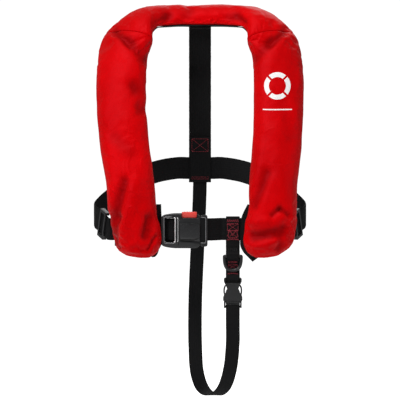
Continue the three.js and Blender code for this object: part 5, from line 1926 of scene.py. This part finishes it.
@dataclass
class StrapFittings:
    """The D-ring, the side-release buckle and the belt's tri-glides. Millimetres."""

    x: float = 58.5
    ring_z: float = -401.0
    ring_y: float = -158.2
    clip_y: float = -154.5
    clip_z: float = -440.0
    bar_wide: float = 2.8
    bar_deep: float = 2.2
    grid: float = 0.45
    rounds: int = 3

    def ring(self, finishes: Finishes) -> None:
        """The D-ring: an oval bar carried round a straight top, two corners and a curved bottom.

        Args:
            finishes: The jacket's finishes.
        """
        half, top, low, corner = 15.2, self.ring_z, self.ring_z - 25.4, 2.4
        x, y = self.x, self.ring_y

        def at(*pairs: tuple[float, float]) -> list:
            """Points on the ring's plane."""
            return [(px, y, pz) for px, pz in pairs]

        line = np.vstack([
            straight((x + half - corner, y, top), (x - half + corner, y, top), 14)[:-1],
            bezier(at((x - half + corner, top), (x - half, top), (x - half, top), (x - half, top - corner)), 8),
            bezier(at((x - half, top - corner), (x - half, low + 4), (x - half * 0.62, low), (x, low)), 24),
            bezier(at((x, low), (x + half * 0.62, low), (x + half, low + 4), (x + half, top - corner)), 24),
            bezier(at((x + half, top - corner), (x + half, top), (x + half, top), (x + half - corner, top)), 8),
        ])
        way = unit(np.roll(line, -1, 0) - np.roll(line, 1, 0))
        away = np.array([0.0, 1.0, 0.0])
        side = unit(np.cross(way, away))
        turn = np.linspace(0, 2 * math.pi, 18, endpoint=False)
        oval = np.stack([self.bar_wide * np.cos(turn), self.bar_deep * np.sin(turn)], axis=1)
        grid = line[:, None] + oval[None, :, :1] * side[:, None] + oval[None, :, 1:] * away
        number = np.arange(len(line) * 18).reshape(len(line), 18)
        nxt, later = np.roll(number, -1, 1), np.roll(number, -1, 0)
        faces = np.stack([number, nxt, np.roll(nxt, -1, 0), later], axis=-1).reshape(-1, 4).tolist()
        piece = new_piece("d_ring_moulding", grid.reshape(-1, 3) * MM, faces, finishes.plastic)
        shape = bmesh.new()
        shape.from_mesh(piece.data)
        bmesh.ops.recalc_face_normals(shape, faces=shape.faces)
        shape.to_mesh(piece.data)
        shape.free()
        place(piece, "ring", "black_plastic", "d_ring")

    def waist(self, points: Array) -> Array:
        """The socket drawn in at its side windows and crowned in front and behind.

        The width falls by a bell curve round the windows' height, and the faces rise towards the middle.

        Args:
            points: Places in millimetres.

        Returns:
            The new places.
        """
        x, y, z = points.T
        wide = x - self.x
        bell = np.exp(-(((z - (self.clip_z - 21)) / 7.5) ** 2))
        flare = np.clip((self.clip_z - 29 - z) / 6, 0, 1)
        outer = np.clip((np.abs(wide) - 8) / 5, 0, 1)
        wide = wide - np.sign(wide) * (4.0 * bell - 1.3 * flare) * outer
        deep = y - self.clip_y
        crown = 1 + 0.14 * np.clip(1 - (wide / 15) ** 2, 0, 1) * np.clip(np.abs(deep) - 4, 0, 1)
        return np.stack([self.x + wide, self.clip_y + deep * crown, z], axis=1)

    def clip(self, finishes: Finishes) -> None:
        """The side-release buckle, with ridges on its socket and plug, and near-black sheets in its throat and mouth
        as painted shadow.

        Args:
            finishes: The jacket's finishes.
        """
        for node, name, body, sculpt in (
            ("clip_socket", "clip_socket_moulding", BODY, self.waist),
            ("clip_plug", "clip_plug_moulding", "plug", as_it_is),
        ):
            piece = softened(moulding(node, name, finishes.plastic, 0), self.grid, self.rounds, sculpt)
            place(piece, body, "black_plastic", node)
        for node, name, body, edge in (
            ("clip_arm_left", "clip_prong_left", "arm_left", 0.7),
            ("clip_arm_right", "clip_prong_right", "arm_right", 0.7),
        ):
            place(moulding(node, name, finishes.plastic, edge), body, "black_plastic", node)
        y, x, z = self.clip_y - 5.5, self.x, self.clip_z
        for side, label in ((-1, "left"), (1, "right")):
            bow = bezier([(x + side * 12.2, y + 3, z - 13), (x + side * 16.2, y + 2, z - 16),
                          (x + side * 16.6, y + 2, z - 27), (x + side * 13.2, y + 3, z - 33)], 30)
            tab = joined_tubes("clip_release_tab_" + label, [rod(bow, 1.5, 10, 1.4)], finishes.plastic)
            place(tab, "arm_" + label, "black_plastic")
        # Painted shadow: near-black sheets across the socket's throat and the plug's mouth, where the gaps lie in
        # shade.
        for name, body, half, drop, width in (
            ("clip_throat_painted_shadow", BODY, 14.2, 6.9, 6.6),
            ("clip_mouth_painted_shadow", "plug", 12.5, 45.4, 4.4),
        ):
            line = straight((x - half, self.clip_y, z - drop), (x + half, self.clip_y, z - drop), 24)
            place(ribbon(name, line, width, 3.0, (0, 0, 1), finishes.shadow), body, "black_plastic")
        rows = [
            rod(straight((x - half, y, z - drop), (x + half, y, z - drop), 16), radius, 8, 0.7)
            for half, drop, radius in ((12, 38.2, 0.8), (12, 12.2, 0.7), (9.5, 11.5, 0.6))
        ]
        for far, near in ((-7, -4), (7, 4)):
            bow = bezier(
                [(x + far, y, z - 15), (x + near, y, z - 20), (x + near, y, z - 30), (x + far, y, z - 35)], 20)
            rows.append(rod(bow, 0.5, 8, 0.7))
        place(joined_tubes("clip_socket_ridges", rows, finishes.plastic), BODY, "black_plastic")
        y += 0.4
        rows = [rod(straight((x - 13, y, z - h), (x + 13, y, z - h), 16), 0.5, 8, 0.7) for h in (43.2, 45.2, 47.2)]
        place(joined_tubes("clip_plug_ridges", rows, finishes.plastic), "plug", "black_plastic")

    def build(self, finishes: Finishes) -> None:
        """Makes the fittings.

        Args:
            finishes: The jacket's finishes.
        """
        self.ring(finishes)
        self.clip(finishes)
        for label in ("left", "right"):
            glide = moulding("tri_glide_" + label, "side_glide_" + label, finishes.plastic, 0.9)
            place(glide, "glide_" + label, "black_plastic", "tri_glide_" + label)


@dataclass
class GasFittings:
    """What is folded inside the lobes: bladder, inflator, mouth tube and whistle."""

    shape: Horseshoe = field(default_factory=Horseshoe)
    edges: tuple[tuple[str, str, str, str, float], ...] = (
        ("inflator_body", "inflator", BODY, "inflator_plastic", 1.6),
        ("gas_cylinder", "gas", "cylinder", "gas_metal", 1.2),
        ("cartridge_cap", "cap", BODY, "cap_plastic", 0.9),
        ("firing_lever", "red_plastic", "lever", "red_plastic", 0.6),
        ("oral_tube", "rubber", BODY, "tube_rubber", 0.6),
        ("oral_cap", "inflator", "cap", "inflator_plastic", 0.8),
        ("whistle", "whistle", "whistle", "whistle_plastic", 1.6),
    )

    def build(self, finishes: Finishes) -> None:
        """Makes each fitting, and dresses the folded bladder."""
        for node, finish, body, slot, edge in self.edges:
            place(moulding(node, node + "_moulding", getattr(finishes, finish), edge), body, slot, node)
        self.bladder(finishes)

    def bladder(self, finishes: Finishes) -> None:
        """The folded bladder: an oval carried along the cover's middle line, thinner where the fittings are.

        Its half sizes are the cover's less a clearance, and two folds run along it as a cosine wave.

        Args:
            finishes: The jacket's finishes.
        """
        share = np.linspace(-0.93, 0.93, 300)
        cover = self.shape.frame(share)
        ramp = np.clip((np.abs(share) - 0.46) / 0.12, 0, 1)
        thin = ramp**2 * (3 - 2 * ramp)
        shoulder = np.exp(-(((np.abs(share) - 0.37) / 0.09) ** 2))
        full = cover.depth - 4.5 - 5.0 * shoulder
        depth = full * (1 - 0.76 * thin)
        at = cover.at + cover.out * ((full - depth) * 0.75 - 1.2)[:, None]
        width = (cover.width - 7.5) * (0.88 - 0.34 * thin - 0.16 * shoulder)
        ends = np.sqrt(1 - np.clip((np.abs(share) - 0.91) / 0.0201, 0, 1) ** 2)
        turn = np.linspace(0, 2 * math.pi, 60, endpoint=False)
        crease = 1 - 0.07 * (1 + np.cos(turn * 6)) / 2
        x = (width * ends)[:, None] * np.cos(turn)[None]
        y = (depth * ends)[:, None] * (np.sin(turn) * crease)[None]
        points = at[:, None] + x[..., None] * cover.across[:, None] + y[..., None] * cover.out[:, None]
        along = travelled(at)
        uv = pattern_places(along[:, None], 40 * turn[None])
        place(tube_piece("folded_bladder", points * MM, finishes.bladder, uv), BODY, "bladder_fabric", "bladder")


@dataclass
class Studio:
    """A pale floor, a white surround, soft lights and the camera. Metres."""

    distance: float = 16.0
    lens: float = 800.0
    elevation: float = 5.0
    target: tuple[float, float, float] = (0.0, 0.0, -0.3144)
    floor: float = -0.70

    def build(self) -> None:
        """Makes the studio."""
        scene = bpy.context.scene
        scene.view_settings.view_transform = "Standard"
        tilt = math.radians(self.elevation)
        camera = bpy.data.objects.new("camera", bpy.data.cameras.new("camera"))
        scene.collection.objects.link(camera)
        camera.data.lens = self.lens
        camera.data.sensor_width = 36.0
        camera.data.clip_end = 100.0
        x, y, z = self.target
        camera.location = (x, y - self.distance * math.cos(tilt), z + self.distance * math.sin(tilt))
        camera.rotation_euler = (math.pi / 2 - tilt, 0, 0)
        scene.camera = camera
        self.surround(scene)
        self.lay_floor()
        for name, place_at, size, power in (
            ("overhead", (-0.4, -0.9, 1.7), 0.9, 26.0),
            ("front_left", (-1.7, -2.0, 1.2), 0.7, 36.0),
            ("right_side", (2.2, -1.1, 0.3), 0.8, 8.0),
            ("behind", (0.4, 1.8, 1.0), 1.4, 9.0),
        ):
            light = bpy.data.lights.new(name, "AREA")
            light.shape = "DISK"
            light.size = size
            light.energy = power
            lamp = bpy.data.objects.new(name, light)
            scene.collection.objects.link(lamp)
            lamp.location = place_at
            way = np.array(self.target) - np.array(place_at)
            across = math.hypot(way[0], way[1])
            lamp.rotation_euler = (math.atan2(across, -way[2]), 0, math.atan2(way[1], way[0]) - math.pi / 2)

    def surround(self, scene: bpy.types.Scene) -> None:
        """A white world: full white to look at, dimmer as a light.

        Args:
            scene: The scene.
        """
        world = bpy.data.worlds.new("studio")
        scene.world = world
        world.use_nodes = True
        world.node_tree.nodes.clear()
        nodes = Nodes(world.node_tree)
        seen = nodes.add("ShaderNodeBackground")
        seen.inputs["Color"].default_value = (1, 1, 1, 1)
        seen.inputs["Strength"].default_value = 1.05
        lit = nodes.add("ShaderNodeBackground")
        lit.inputs["Color"].default_value = (1, 1, 1, 1)
        lit.inputs["Strength"].default_value = 0.2
        mix = nodes.add("ShaderNodeMixShader")
        path = nodes.add("ShaderNodeLightPath")
        output = nodes.add("ShaderNodeOutputWorld")
        nodes.join(path.outputs["Is Camera Ray"], mix.inputs[0])
        nodes.join(lit.outputs[0], mix.inputs[1])
        nodes.join(seen.outputs[0], mix.inputs[2])
        nodes.join(mix.outputs[0], output.inputs[0])

    def lay_floor(self) -> None:
        """A round pale floor, bright enough to stay white."""
        turn = np.linspace(0, 2 * math.pi, 96, endpoint=False)
        rim = np.stack([4 * np.cos(turn), 4 * np.sin(turn), np.full(96, self.floor)], axis=1)
        material, nodes, shader, coordinates = start_material("pale_floor")
        grain = place_group(nodes, GRAIN, Vector=coordinates.outputs[Coordinates.SPACE.value], Coarse=2.0, Fine=60.0)
        share = nodes.math("MULTIPLY", grain.outputs["Mask"], 0.3)
        tone = nodes.mix(share, rgba((0.95, 0.95, 0.95)), rgba((0.92, 0.92, 0.92)))
        nodes.join(tone, shader.inputs["Base Color"])
        shader.inputs["Roughness"].default_value = 0.9
        shader.inputs["Emission Color"].default_value = (1, 1, 1, 1)
        path = nodes.add("ShaderNodeLightPath")
        nodes.join(nodes.math("MULTIPLY", path.outputs["Is Camera Ray"], 0.85), shader.inputs["Emission Strength"])
        floor = new_piece("floor", rim, [tuple(range(96))], material)


def main() -> None:
    """Builds the jacket and its studio."""
    logging.basicConfig(level=logging.INFO, format="%(message)s")
    Studio().build()
    finishes = Finishes()
    Cover().build(finishes)
    Harness().build(finishes)
    ChestBuckle().build(finishes)
    StrapFittings().build(finishes)
    GasFittings().build(finishes)


if __name__ == "__main__":
    main()
